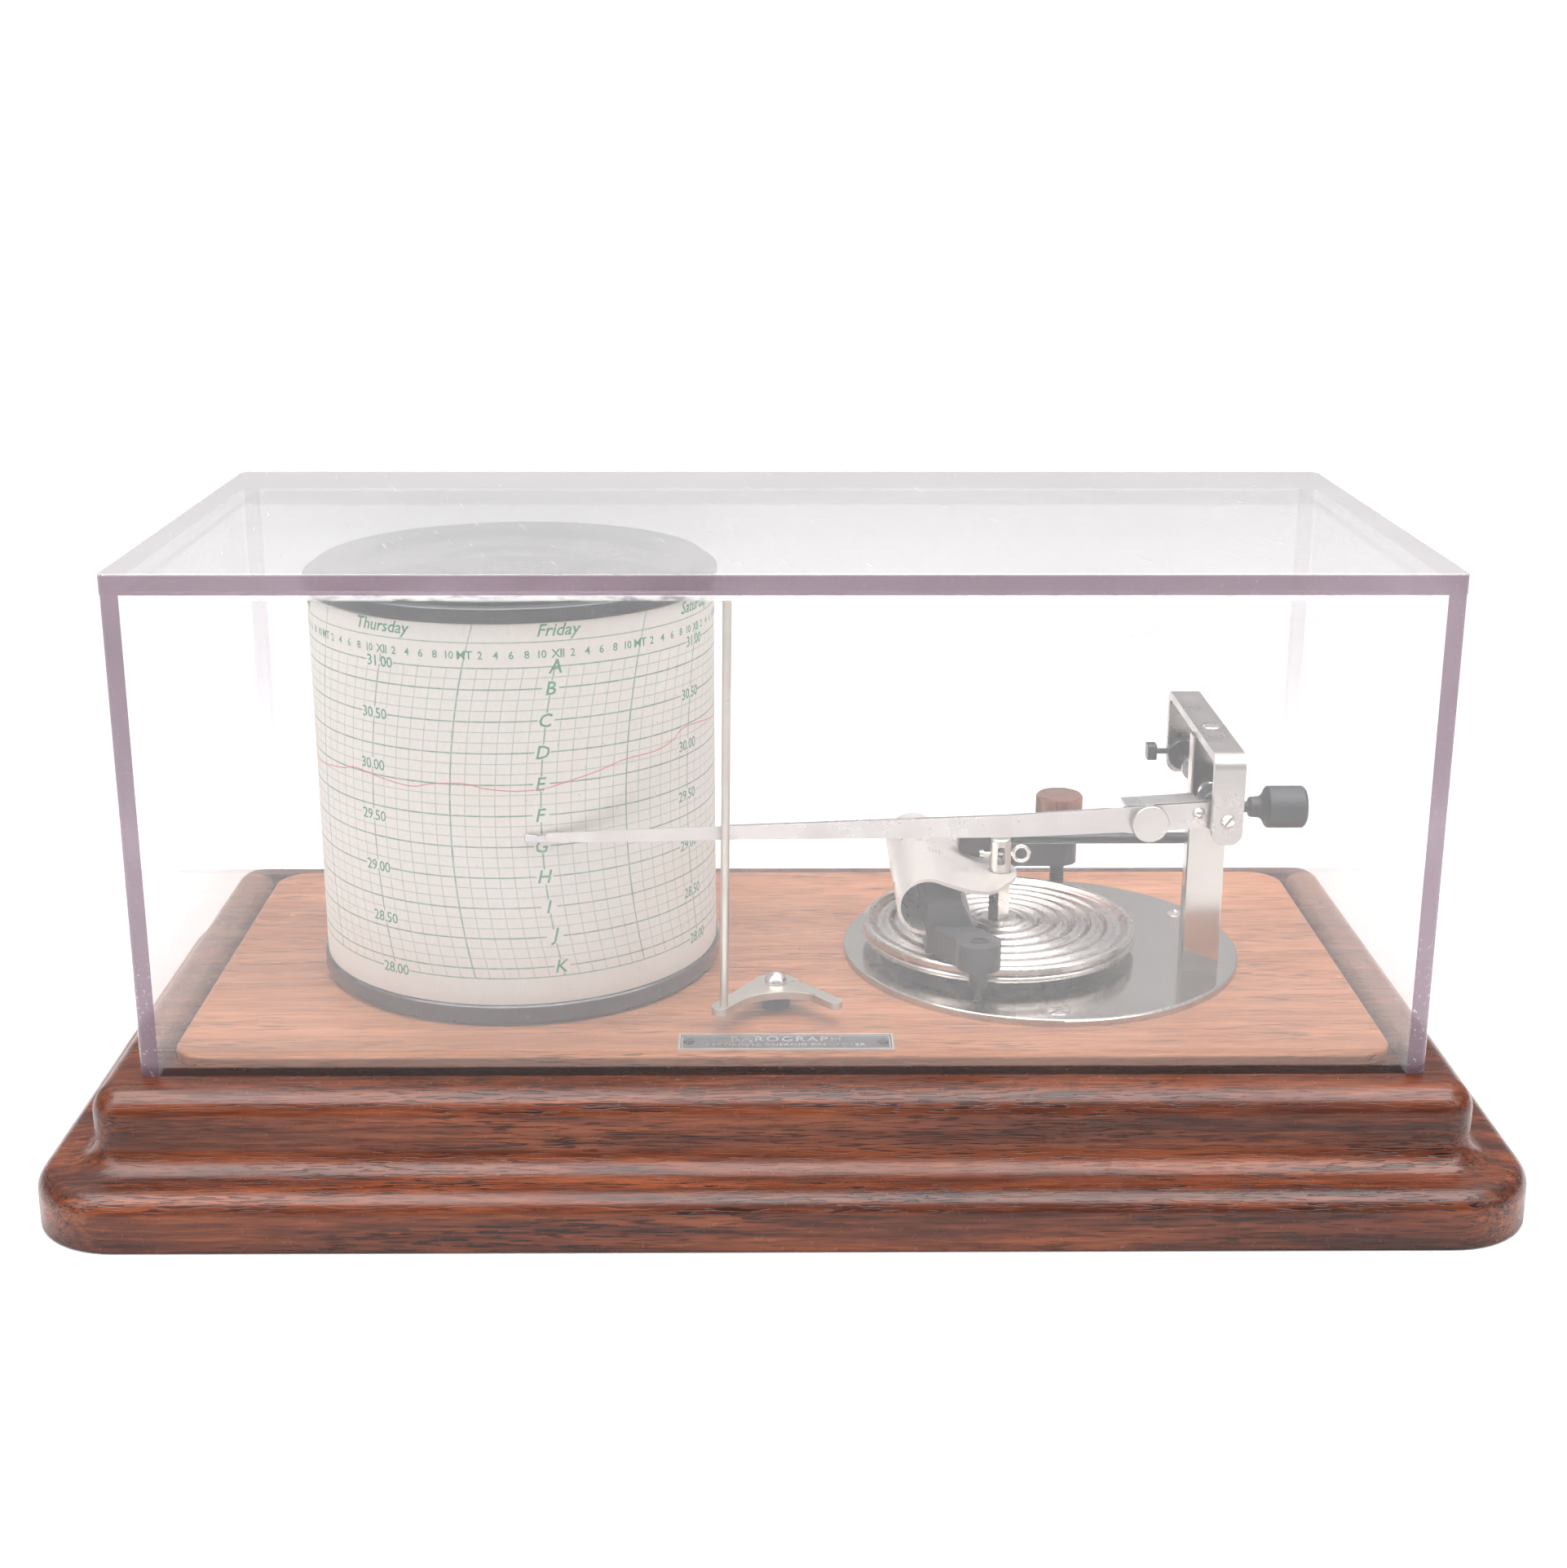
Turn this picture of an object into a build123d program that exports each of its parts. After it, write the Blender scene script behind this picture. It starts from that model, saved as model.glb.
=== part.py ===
from build123d import *
import math
import os

# Recording aneroid barometer under an acrylic case.
# Frame: millimetres, +Z up, origin on the table under the middle of the plinth.
# The front faces -Y. The chart drum stands on the left (-X), the aneroid on the right.

os.makedirs("parts", exist_ok=True)

# ---------------------------------------------------------------- driving dimensions
COVER_W, COVER_D, COVER_H, PANEL = 298.5, 142.0, 118.05, 4.7
PLINTH_TOP = 32.9
COVER_TOP = PLINTH_TOP + COVER_H
PANEL_H = COVER_H - PANEL                # height of the panels under the top one
CORNER_R = 2.2                           # upright outer corners of the cover

CORE_MARGIN = 2.1
CORE_X = COVER_W / 2 + CORE_MARGIN       # half sizes of the plinth core,
CORE_Y = COVER_D / 2 + CORE_MARGIN       # where the moulding starts
OVERHANG = 21.9                          # moulding width outside the core

BOARD_W, BOARD_D, BOARD_R = 287.7, 131.1, 9.0
BOARD_BOTTOM, BOARD_TOP = 29.4, 35.4
POCKET_GAP = 0.25                        # between the board's edge and its pocket

DRUM = (DRUM_X, DRUM_Y) = (-67.55, 2.65)
SHELL_R, SHELL_IN = 50.0, 49.0
SHELL_BOTTOM, SHELL_TOP = 38.2, 134.6
CHART_R, CHART_BOTTOM = 50.33, 40.85
LID_R = 51.3

PLATE = (PLATE_X, PLATE_Y) = (67.6, 2.13)    # aneroid base plate
PLATE_R, PLATE_T = 51.35, 2.0
PLATE_TOP = BOARD_TOP + PLATE_T
PLATE_SCREW_R, PLATE_SCREW_ANGLE = 46.0, -91     # pitch radius, first direction
CAPSULE = (CAPS_X, CAPS_Y) = (56.7, PLATE_Y)

ARB_X, ARB_Z = 105.8, 85.0               # pen arbor, parallel to Y
POST = (POST_X, POST_Y) = (106.1, -14.8)     # post that carries the yoke
LIFTER = (LIFT_X, LIFT_Y) = (-1.83, -35.0)   # pivot of the pen lifter
ROD_FOOT_X, ROD_TOP_X, ROD_Y = -14.32, -12.95, -50.0


# ---------------------------------------------------------------- helpers
def upright(x, y, z=0):
    """Plane facing the front: local x to the right, local y up."""
    return Plane(origin=(x, y, z), x_dir=(1, 0, 0), z_dir=(0, -1, 0))


def facing_back(x, y, z=0):
    """Plane facing the back: local x to the right, local y down."""
    return Plane(origin=(x, y, z), x_dir=(1, 0, 0), z_dir=(0, 1, 0))


def facing_right(x, y=0, z=0):
    """Plane facing right: local x to the back, local y up."""
    return Plane(origin=(x, y, z), x_dir=(0, 1, 0), z_dir=(1, 0, 0))


def facing_left(x, y, z):
    """Plane facing left: local x to the back, local y down."""
    return Plane(origin=(x, y, z), x_dir=(0, 1, 0), z_dir=(-1, 0, 0))


def vertical(x, y):
    return Axis((x, y, 0), (0, 0, 1))


def polar(radius, degrees, centre=(0, 0)):
    angle = math.radians(degrees)
    return centre[0] + radius * math.cos(angle), centre[1] + radius * math.sin(angle)


def dome_mid(base_r, height):
    """Middle point (radius, height) of the arc of a spherical cap."""
    sphere_r = (base_r * base_r + height * height) / (2 * height)
    angle = math.atan2(base_r, sphere_r - height) / 2
    return sphere_r * math.sin(angle), height - sphere_r + sphere_r * math.cos(angle)


def save(part, label):
    part.label = label
    export_step(part, f"parts/{label}.step")


def turned_piece(centre, profile):
    """Solid turned about a vertical axis from a closed profile of (radius, z) points."""
    with BuildPart() as piece:
        with BuildSketch(upright(*centre)):
            with BuildLine():
                Polyline(*profile, close=True)
            make_face()
        revolve(axis=vertical(*centre))
    return piece.part


def tube_piece(centre, outer, inner, bottom, height):
    with BuildPart() as piece:
        with BuildSketch(Plane.XY.offset(bottom)):
            with Locations(centre):
                Circle(outer)
                Circle(inner, mode=Mode.SUBTRACT)
        extrude(amount=height)
    return piece.part


# ---------------------------------------------------------------- plinth
# Moulding section: local x is the distance outside the core, local y the height.
with BuildSketch() as moulding:
    with BuildLine():
        Polyline((0, 0), (OVERHANG - 0.6, 0), (OVERHANG, 0.6), (OVERHANG, 8.6))
        ThreePointArc((OVERHANG, 8.6), (20.35, 12.3), (16.6, 13.8))
        Line((16.6, 13.8), (14.8, 14.05))
        ThreePointArc((14.8, 14.05), (10.2, 15.9), (8.3, 20.3))
        Line((8.3, 20.3), (8.3, 26.3))
        ThreePointArc((8.3, 26.3), (6.35, 30.95), (1.7, PLINTH_TOP))
        Polyline((1.7, PLINTH_TOP), (0, PLINTH_TOP), (0, 0))
    make_face()

# straight runs: start corner, outward direction, direction of the run, length
MOULDING_RUNS = (
    ((CORE_X, CORE_Y, 0), (1, 0, 0), (0, -1, 0), 2 * CORE_Y),
    ((-CORE_X, -CORE_Y, 0), (-1, 0, 0), (0, 1, 0), 2 * CORE_Y),
    ((-CORE_X, CORE_Y, 0), (0, 1, 0), (1, 0, 0), 2 * CORE_X),
    ((CORE_X, -CORE_Y, 0), (0, -1, 0), (-1, 0, 0), 2 * CORE_X),
)
CORNERS = ((CORE_X, CORE_Y), (-CORE_X, CORE_Y), (-CORE_X, -CORE_Y), (CORE_X, -CORE_Y))

with BuildPart() as base_plinth:
    with BuildSketch(Plane.XY):
        Rectangle(2 * CORE_X, 2 * CORE_Y)
    extrude(amount=PLINTH_TOP)
    for start, outward, along, run in MOULDING_RUNS:
        with BuildSketch(Plane(origin=start, x_dir=outward, z_dir=along)):
            add(moulding.sketch_local)
        extrude(amount=run)
    # turned corners
    for corner in CORNERS:
        with BuildSketch(upright(*corner)):
            add(moulding.sketch_local)
        revolve(axis=vertical(*corner), revolution_arc=360)
    # pocket for the instrument board
    with BuildSketch(Plane.XY.offset(BOARD_BOTTOM)):
        RectangleRounded(BOARD_W + 2 * POCKET_GAP, BOARD_D + 2 * POCKET_GAP, BOARD_R + POCKET_GAP)
    extrude(amount=10, mode=Mode.SUBTRACT)
    # recess for the spindle's nut, open below, then the spindle's bore
    for radius, depth in ((11, 20.0), (3.3, 32)):
        with BuildSketch(Plane.XY):
            with Locations(DRUM):
                Circle(radius)
        extrude(amount=depth, mode=Mode.SUBTRACT)
save(base_plinth.part, "base_plinth")

with BuildPart() as instrument_board:
    with BuildSketch(Plane.XY.offset(BOARD_BOTTOM)):
        RectangleRounded(BOARD_W, BOARD_D, BOARD_R)
    extrude(amount=BOARD_TOP - BOARD_BOTTOM)
    fillet(instrument_board.faces().sort_by(Axis.Z)[-1].edges(), 0.9)
    with BuildSketch(Plane.XY.offset(BOARD_BOTTOM)):
        with Locations(DRUM):
            Circle(3.05)
    extrude(amount=7, mode=Mode.SUBTRACT)
    # pilot holes of the aneroid plate's wood screws and of the lifter post
    with BuildSketch(Plane.XY.offset(BOARD_TOP)):
        with Locations(PLATE):
            with PolarLocations(PLATE_SCREW_R, 3, start_angle=PLATE_SCREW_ANGLE):
                Circle(1.5)
        with Locations(LIFTER):
            Circle(1.5)
    extrude(amount=-4.6, mode=Mode.SUBTRACT)
save(instrument_board.part, "instrument_board")

# ---------------------------------------------------------------- acrylic cover
with BuildPart() as cover_top_panel:
    with BuildSketch(Plane.XY.offset(COVER_TOP - PANEL)):
        RectangleRounded(COVER_W, COVER_D, CORNER_R)
    extrude(amount=PANEL)
    fillet(cover_top_panel.faces().sort_by(Axis.Z)[-1].edges(), 0.7)
save(cover_top_panel.part, "cover_top_panel")

for name, side in (("cover_left_panel", -1), ("cover_right_panel", 1)):
    with BuildPart() as side_panel:
        with BuildSketch(Plane.XY.offset(PLINTH_TOP)):
            with Locations((side * (COVER_W / 2 - PANEL / 2), 0)):
                Rectangle(PANEL, COVER_D)
        extrude(amount=PANEL_H)
        uprights = side_panel.edges().filter_by(Axis.Z).sort_by(Axis.X)
        fillet(uprights[-2:] if side > 0 else uprights[:2], CORNER_R)
    save(side_panel.part, name)

for name, side in (("cover_front_panel", -1), ("cover_back_panel", 1)):
    with BuildPart() as long_panel:
        with BuildSketch(Plane.XY.offset(PLINTH_TOP)):
            with Locations((0, side * (COVER_D / 2 - PANEL / 2))):
                Rectangle(COVER_W - 2 * PANEL, PANEL)
        extrude(amount=PANEL_H)
    save(long_panel.part, name)

# ---------------------------------------------------------------- name plate
NAME_X, NAME_Y = 0.5, -58.5
NAME_W, NAME_D, NAME_T = 51.0, 9.2, 0.55
NAME_BORDER = 0.6
NAME_PINS = ((NAME_X - 23, NAME_Y), (NAME_X + 23, NAME_Y))

with BuildPart() as nameplate:
    with BuildSketch(Plane.XY.offset(BOARD_TOP)):
        with Locations((NAME_X, NAME_Y)):
            Rectangle(NAME_W, NAME_D)
    extrude(amount=NAME_T)
    # sunk field inside a raised border
    with BuildSketch(Plane.XY.offset(BOARD_TOP + NAME_T)):
        with Locations((NAME_X, NAME_Y)):
            Rectangle(NAME_W - 2 * NAME_BORDER, NAME_D - 2 * NAME_BORDER)
    extrude(amount=-0.12, mode=Mode.SUBTRACT)
    with BuildSketch(Plane.XY.offset(BOARD_TOP + NAME_T)):
        with Locations(*NAME_PINS):
            Circle(0.8)
    extrude(amount=-NAME_T, mode=Mode.SUBTRACT)
save(nameplate.part, "nameplate")

with BuildPart() as nameplate_pins:
    # shank, then head: radius, height above the board, length
    for radius, rise, length in ((0.7, 0, 0.45), (1.35, 0.45, 0.5)):
        with BuildSketch(Plane.XY.offset(BOARD_TOP + rise)):
            with Locations(*NAME_PINS):
                Circle(radius)
        extrude(amount=length)
    fillet(nameplate_pins.faces().group_by(Axis.Z)[-1].edges(), 0.35)
save(nameplate_pins.part, "nameplate_pins")

# ---------------------------------------------------------------- drum, fixed part
SPINDLE_PROFILE = (                      # radius, z
    (0, 12.6), (2.7, 12.6), (3.0, 12.9), (3.0, BOARD_TOP), (12, BOARD_TOP), (12, 37.6),
    (6.0, 38.4), (6.0, 45.9), (3.9, 45.9), (3.9, 112.0), (3.0, 113.0), (0, 113.0),
)
save(turned_piece(DRUM, SPINDLE_PROFILE), "drum_spindle")

PRESSURE_ANGLE = math.radians(20)


def gear_outline(teeth, module, turn, thinning, tip=0.75, flank=4):
    """Points of an involute gear with one tooth centred on `turn` degrees.

    `thinning` is taken off the tooth's thickness, `tip` is the addendum in modules,
    `flank` the number of steps along each tooth flank.
    """
    def involute(angle):
        return math.tan(angle) - angle

    pitch_r = module * teeth / 2
    base_r = pitch_r * math.cos(PRESSURE_ANGLE)
    tip_r, root_r = pitch_r + tip * module, pitch_r - 1.25 * module
    half = math.pi / (2 * teeth) - thinning / (2 * pitch_r)
    base_half = half + involute(PRESSURE_ANGLE)
    start = max(base_r, root_r)
    side = [(root_r, base_half)] if root_r < base_r else []      # radius, half angle
    for i in range(flank + 1):
        radius = start + (tip_r - start) * i / flank
        spread = involute(math.acos(min(1.0, base_r / radius)))
        side.append((radius, base_half - spread))
    points = []
    for tooth in range(teeth):
        mid = math.radians(turn) + 2 * math.pi * tooth / teeth
        points += [(r * math.cos(mid - a), r * math.sin(mid - a)) for r, a in side]
        points += [(r * math.cos(mid + a), r * math.sin(mid + a)) for r, a in reversed(side)]
    return points


# fixed gear: the clock's pinion walks round it
DRIVE_MODULE, GREAT_MODULE, TRAIN_MODULE = 0.8, 0.6, 0.5
with BuildPart() as spindle_gear:
    with BuildSketch(Plane.XY.offset(41.2)):
        with Locations(DRUM):
            Polygon(*gear_outline(40, DRIVE_MODULE, 0.0, 0.10), align=None)
            Circle(6.0, mode=Mode.SUBTRACT)
            with PolarLocations(10.2, 6):
                Circle(1.9, mode=Mode.SUBTRACT)
    extrude(amount=3.2)
save(spindle_gear.part, "spindle_gear")

NUT_BOTTOM, NUT_H, NUT_BORE = 14.6, 4.6, 3.04
with BuildPart() as spindle_nut:
    with BuildSketch(Plane.XY.offset(NUT_BOTTOM)):
        with Locations(DRUM):
            RegularPolygon(5.0, 6)
            Circle(NUT_BORE, mode=Mode.SUBTRACT)
    extrude(amount=NUT_H)
    # washer on top of the nut
    with BuildSketch(Plane.XY.offset(NUT_BOTTOM + NUT_H)):
        with Locations(DRUM):
            Circle(8.0)
            Circle(NUT_BORE, mode=Mode.SUBTRACT)
    extrude(amount=0.8)
save(spindle_nut.part, "spindle_nut")

# ---------------------------------------------------------------- drum, turning part
FLANGE_PROFILE = (                       # radius, z
    (18.0, 36.0), (50.6, 36.0), (51.1, 36.5), (51.1, 40.3), (50.7, 40.7), (SHELL_R, 40.7),
    (SHELL_R, SHELL_BOTTOM), (18.0, SHELL_BOTTOM),
)
save(turned_piece(DRUM, FLANGE_PROFILE), "drum_base_flange")
save(tube_piece(DRUM, SHELL_R, SHELL_IN, SHELL_BOTTOM, SHELL_TOP - SHELL_BOTTOM), "drum_shell")
save(tube_piece(DRUM, CHART_R, SHELL_R + 0.03, CHART_BOTTOM, SHELL_TOP - 0.1 - CHART_BOTTOM),
     "chart_paper")

# spring bar that holds the chart's ends down, at the back of the drum
CLIP_IN, CLIP_OUT = CHART_R + 0.05, CHART_R + 0.55
CLIP_START, CLIP_ARC = 86, 8             # degrees
with BuildPart() as chart_clip:
    with BuildSketch(Plane((DRUM_X, DRUM_Y, CHART_BOTTOM + 0.1))):
        with BuildLine():
            for radius in (CLIP_IN, CLIP_OUT):
                CenterArc((0, 0), radius, CLIP_START, CLIP_ARC)
            for angle in (CLIP_START, CLIP_START + CLIP_ARC):
                Line(polar(CLIP_IN, angle), polar(CLIP_OUT, angle))
        make_face()
    extrude(amount=SHELL_TOP - CHART_BOTTOM - 0.3)
save(chart_clip.part, "chart_clip")

# pressed lid: rolled rim, raised crown with two stepped rings, skirt inside the shell
with BuildPart() as drum_lid:
    with BuildSketch(upright(*DRUM)):
        with BuildLine():
            Polyline((0, 139.0), (8.0, 139.0), (17.0, 138.9), (18.2, 139.6), (19.6, 139.7),
                     (20.8, 139.3), (24.0, 139.2), (36.4, 139.2), (38.2, 140.3), (40.2, 140.4),
                     (46.6, 140.6))
            ThreePointArc((46.6, 140.6), (48.5, 140.15), (49.3, 138.6))
            Line((49.3, 138.6), (50.7, 138.4))
            ThreePointArc((50.7, 138.4), (51.15, 138.2), (LID_R, 137.7))
            Polyline((LID_R, 137.7), (LID_R, 135.2), (50.9, 134.75), (48.9, 134.75),
                     (48.9, 131.2), (47.9, 131.2), (47.9, 137.4), (0, 137.4), (0, 139.0))
        make_face()
    revolve(axis=vertical(*DRUM))
save(drum_lid.part, "drum_lid")

# ---------------------------------------------------------------- clock movement in the drum
LOWER_Z, UPPER_Z, CLOCK_T = 46.0, 72.0, 2.0      # undersides of the clock plates, thickness
LOWER_TOP, UPPER_TOP = LOWER_Z + CLOCK_T, UPPER_Z + CLOCK_T
SPINDLE_HOLE_R, PIVOT_HOLE_R, PIVOT_R = 3.98, 0.68, 0.62

# places of the clock's arbors, measured from the drum's axis
DRIVE = (20.0, 0.0)
BARREL = (8.52, 22.44)
TRAIN = polar(24, 113.24)
ESCAPE = polar(30, 148.92)
BALANCE = (-30.9, -8.28)


def bearing(start, end):
    """Direction in degrees from one point to another."""
    return math.degrees(math.atan2(end[1] - start[1], end[0] - start[0]))


def in_drum(place):
    return (DRUM_X + place[0], DRUM_Y + place[1])


def staff(radius):
    """Cylinders (radius, bottom, top) of an arbor: body between the plates, then pivots."""
    return ((radius, LOWER_TOP + 0.2, UPPER_Z - 0.2), (PIVOT_R, LOWER_Z - 0.2, UPPER_TOP + 0.2))


with BuildPart() as clock_bottom_plate:
    with BuildSketch(Plane.XY.offset(LOWER_Z)):
        with Locations(DRUM):
            Circle(SHELL_IN)
            Circle(SPINDLE_HOLE_R, mode=Mode.SUBTRACT)
            with Locations(TRAIN, ESCAPE, BALANCE):
                Circle(PIVOT_HOLE_R, mode=Mode.SUBTRACT)
            with Locations(DRIVE, BARREL):
                Circle(1.58, mode=Mode.SUBTRACT)
    extrude(amount=CLOCK_T)
save(clock_bottom_plate.part, "clock_bottom_plate")

with BuildPart() as clock_top_plate:
    with BuildSketch(Plane.XY.offset(UPPER_Z)):
        with Locations(DRUM):
            Circle(46.5)
            Circle(SPINDLE_HOLE_R, mode=Mode.SUBTRACT)
            with Locations(DRIVE, TRAIN, ESCAPE, BALANCE):
                Circle(PIVOT_HOLE_R, mode=Mode.SUBTRACT)
            with Locations(BARREL):
                Circle(2.08, mode=Mode.SUBTRACT)
    extrude(amount=CLOCK_T)
    top_face = clock_top_plate.faces().sort_by(Axis.Z)[-1]
    chamfer(top_face.edges().sort_by(SortBy.LENGTH)[-1], 0.4)
save(clock_top_plate.part, "clock_top_plate")

PILLAR_RING_R, PILLAR_ANGLES = 42, (28, 100, 175, 245, 310)
PILLAR_PROFILE = (                       # radius, z
    (0, LOWER_TOP), (3.2, LOWER_TOP), (3.2, LOWER_TOP + 3), (2.3, LOWER_TOP + 4.5),
    (2.3, UPPER_Z - 4.5), (3.2, UPPER_Z - 3), (3.2, UPPER_Z), (0, UPPER_Z),
)
with BuildPart() as clock_pillars:
    for angle in PILLAR_ANGLES:
        foot = polar(PILLAR_RING_R, angle, DRUM)
        with BuildSketch(upright(*foot)):
            with BuildLine():
                Polyline(*PILLAR_PROFILE, close=True)
            make_face()
        revolve(axis=vertical(*foot))
save(clock_pillars.part, "clock_pillars")

# drive arbor: the pinion under the bottom plate walks round the fixed gear,
# the wheel between the plates is turned by the barrel
GREAT_Z, GREAT_T = 51.0, 1.6             # great wheel and the wheel it drives
DRIVE_LEAVES = 10
# a space of the pinion faces the fixed gear's tooth
DRIVE_TURN = bearing((0, 0), DRIVE) + 180 + 180 / DRIVE_LEAVES
DRIVE_SHOULDER = UPPER_Z - 0.15
with BuildPart() as drive_arbor:
    with BuildSketch(Plane.XY.offset(GREAT_Z)):
        with Locations(in_drum(DRIVE)):
            Polygon(*gear_outline(36, GREAT_MODULE, bearing(DRIVE, BARREL), 0.08), align=None)
            with PolarLocations(6.2, 5):
                Circle(2.1, mode=Mode.SUBTRACT)
    extrude(amount=GREAT_T)
    with BuildSketch(Plane.XY.offset(41.4)):
        with Locations(in_drum(DRIVE)):
            Polygon(*gear_outline(DRIVE_LEAVES, DRIVE_MODULE, DRIVE_TURN, 0.10, tip=0.8),
                    align=None)
    extrude(amount=2.8)
    for radius, bottom, top in ((1.5, 44.2, DRIVE_SHOULDER),
                                (PIVOT_R, DRIVE_SHOULDER, UPPER_TOP + 0.2)):
        with BuildSketch(Plane.XY.offset(bottom)):
            with Locations(in_drum(DRIVE)):
                Circle(radius)
        extrude(amount=top - bottom)
save(drive_arbor.part, "drive_arbor")

# spring barrel with its great wheel
GREAT_TEETH = 48
GREAT_PITCH = 360 / GREAT_TEETH
GREAT_TURN = bearing(BARREL, DRIVE) + GREAT_PITCH / 2
with BuildPart() as mainspring_barrel:
    with BuildSketch(Plane.XY.offset(GREAT_Z)):
        with Locations(in_drum(BARREL)):
            Polygon(*gear_outline(GREAT_TEETH, GREAT_MODULE, GREAT_TURN, 0.08), align=None)
            Circle(2.08, mode=Mode.SUBTRACT)
    extrude(amount=GREAT_T)
    with BuildSketch(Plane.XY.offset(GREAT_Z + GREAT_T)):
        with Locations(in_drum(BARREL)):
            Circle(13.2)
            Circle(12.4, mode=Mode.SUBTRACT)
    extrude(amount=10.0)
save(mainspring_barrel.part, "mainspring_barrel")

# spring in the barrel, drawn as concentric rings with a radial bar across them
COIL_Z, COIL_H, COIL_PITCH = 53.0, 9.0, 0.8
with BuildPart() as mainspring:
    with BuildSketch(Plane.XY.offset(COIL_Z)):
        with Locations(in_drum(BARREL)):
            for i in range(6):
                Circle(11.9 - COIL_PITCH * i)
                Circle(11.5 - COIL_PITCH * i, mode=Mode.SUBTRACT)
            Rectangle(0.5, 6.0, align=(Align.CENTER, Align.MIN))
            with Locations((0, 7.1)):
                Rectangle(0.8, 4.9, align=(Align.CENTER, Align.MIN))
            Circle(6.4, mode=Mode.SUBTRACT)
    extrude(amount=COIL_H)
save(mainspring.part, "mainspring")

SQUARE_Z = UPPER_TOP + 1.0               # foot of the winding square
BARREL_ARBOR = (                         # radius, bottom, top
    (1.5, LOWER_Z - 0.3, LOWER_TOP + 0.2),
    (2.0, LOWER_TOP + 0.2, SQUARE_Z),
    (4.2, COIL_Z, COIL_Z + COIL_H),
)
with BuildPart() as barrel_arbor:
    for radius, bottom, top in BARREL_ARBOR:
        with BuildSketch(Plane.XY.offset(bottom)):
            with Locations(in_drum(BARREL)):
                Circle(radius)
        extrude(amount=top - bottom)
    with BuildSketch(Plane.XY.offset(SQUARE_Z)):
        with Locations(in_drum(BARREL)):
            Rectangle(2.7, 2.7)
    extrude(amount=11.0)
save(barrel_arbor.part, "barrel_arbor")

# winding key on the barrel's square: socket, solid cap, flat bow with two holes
KEY_Z, KEY_SOCKET, KEY_CAP, KEY_R, BOW_T = UPPER_TOP + 2.5, 10.0, 2.0, 3.6, 2.0
KEY_X, KEY_Y = in_drum(BARREL)
with BuildPart() as winding_key:
    with BuildSketch(Plane.XY.offset(KEY_Z)):
        with Locations((KEY_X, KEY_Y)):
            Circle(KEY_R)
            Rectangle(2.8, 2.8, mode=Mode.SUBTRACT)
    extrude(amount=KEY_SOCKET)
    with BuildSketch(Plane.XY.offset(KEY_Z + KEY_SOCKET)):
        with Locations((KEY_X, KEY_Y)):
            Circle(KEY_R)
    extrude(amount=KEY_CAP)
    with BuildSketch(upright(KEY_X, KEY_Y + BOW_T / 2, KEY_Z + KEY_SOCKET + KEY_CAP)):
        with Locations((0, 6.0)):
            Ellipse(10.5, 6.4)
        with Locations((6.0, 6.2), (-6.0, 6.2)):
            Circle(2.6, mode=Mode.SUBTRACT)
        with Locations((0, -3.0)):
            Rectangle(30, 6, mode=Mode.SUBTRACT)
    extrude(amount=BOW_T)
save(winding_key.part, "winding_key")

# train wheel: pinion in mesh with the great wheel, wheel under the top plate
TRAIN_STAFF_R = 1.2
LEAF_PITCH = 360 / 12
# how far the great wheel's teeth are past this pinion's direction, as part of a pitch
great_phase = (bearing(BARREL, TRAIN) - GREAT_TURN) % GREAT_PITCH / GREAT_PITCH
TRAIN_TURN = bearing(TRAIN, BARREL) + LEAF_PITCH / 2 + great_phase * LEAF_PITCH
with BuildPart() as train_wheel:
    with BuildSketch(Plane.XY.offset(50.6)):
        with Locations(in_drum(TRAIN)):
            Polygon(*gear_outline(12, GREAT_MODULE, TRAIN_TURN, 0.08, tip=0.7), align=None)
    extrude(amount=2.4)
    for radius, bottom, top in staff(TRAIN_STAFF_R):
        with BuildSketch(Plane.XY.offset(bottom)):
            with Locations(in_drum(TRAIN)):
                Circle(radius)
        extrude(amount=top - bottom)
    with BuildSketch(Plane.XY.offset(67.0)):
        with Locations(in_drum(TRAIN)):
            Polygon(*gear_outline(60, TRAIN_MODULE, 0.0, 0.08, tip=0.7, flank=3), align=None)
            Circle(TRAIN_STAFF_R, mode=Mode.SUBTRACT)
            with PolarLocations(8.6, 5):
                Circle(3.2, mode=Mode.SUBTRACT)
    extrude(amount=1.2)
save(train_wheel.part, "train_wheel")

# escape wheel: ten leaf pinion in mesh with the train wheel, fifteen pointed teeth
escape_bearing = bearing(TRAIN, ESCAPE)
train_phase = (escape_bearing % 6.0) / 6.0       # the train wheel's pitch is 6 degrees
ESCAPE_TURN = escape_bearing + 180 + 18 + train_phase * 36
ESCAPE_TOOTH = ((5.4, 0.0), (6.9, 0.21), (6.9, 0.25), (5.4, 0.27))    # radius, radians
with BuildPart() as escape_wheel:
    with BuildSketch(Plane.XY.offset(66.8)):
        with Locations(in_drum(ESCAPE)):
            Polygon(*gear_outline(10, TRAIN_MODULE, ESCAPE_TURN, 0.08, tip=0.7), align=None)
    extrude(amount=1.7)
    for radius, bottom, top in staff(1.0):
        with BuildSketch(Plane.XY.offset(bottom)):
            with Locations(in_drum(ESCAPE)):
                Circle(radius)
        extrude(amount=top - bottom)
    with BuildSketch(Plane.XY.offset(60.0)):
        with Locations(in_drum(ESCAPE)):
            Polygon(*[polar(radius, 24 * tooth + math.degrees(lead))
                      for tooth in range(15) for radius, lead in ESCAPE_TOOTH], align=None)
    extrude(amount=0.9)
save(escape_wheel.part, "escape_wheel")

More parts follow.
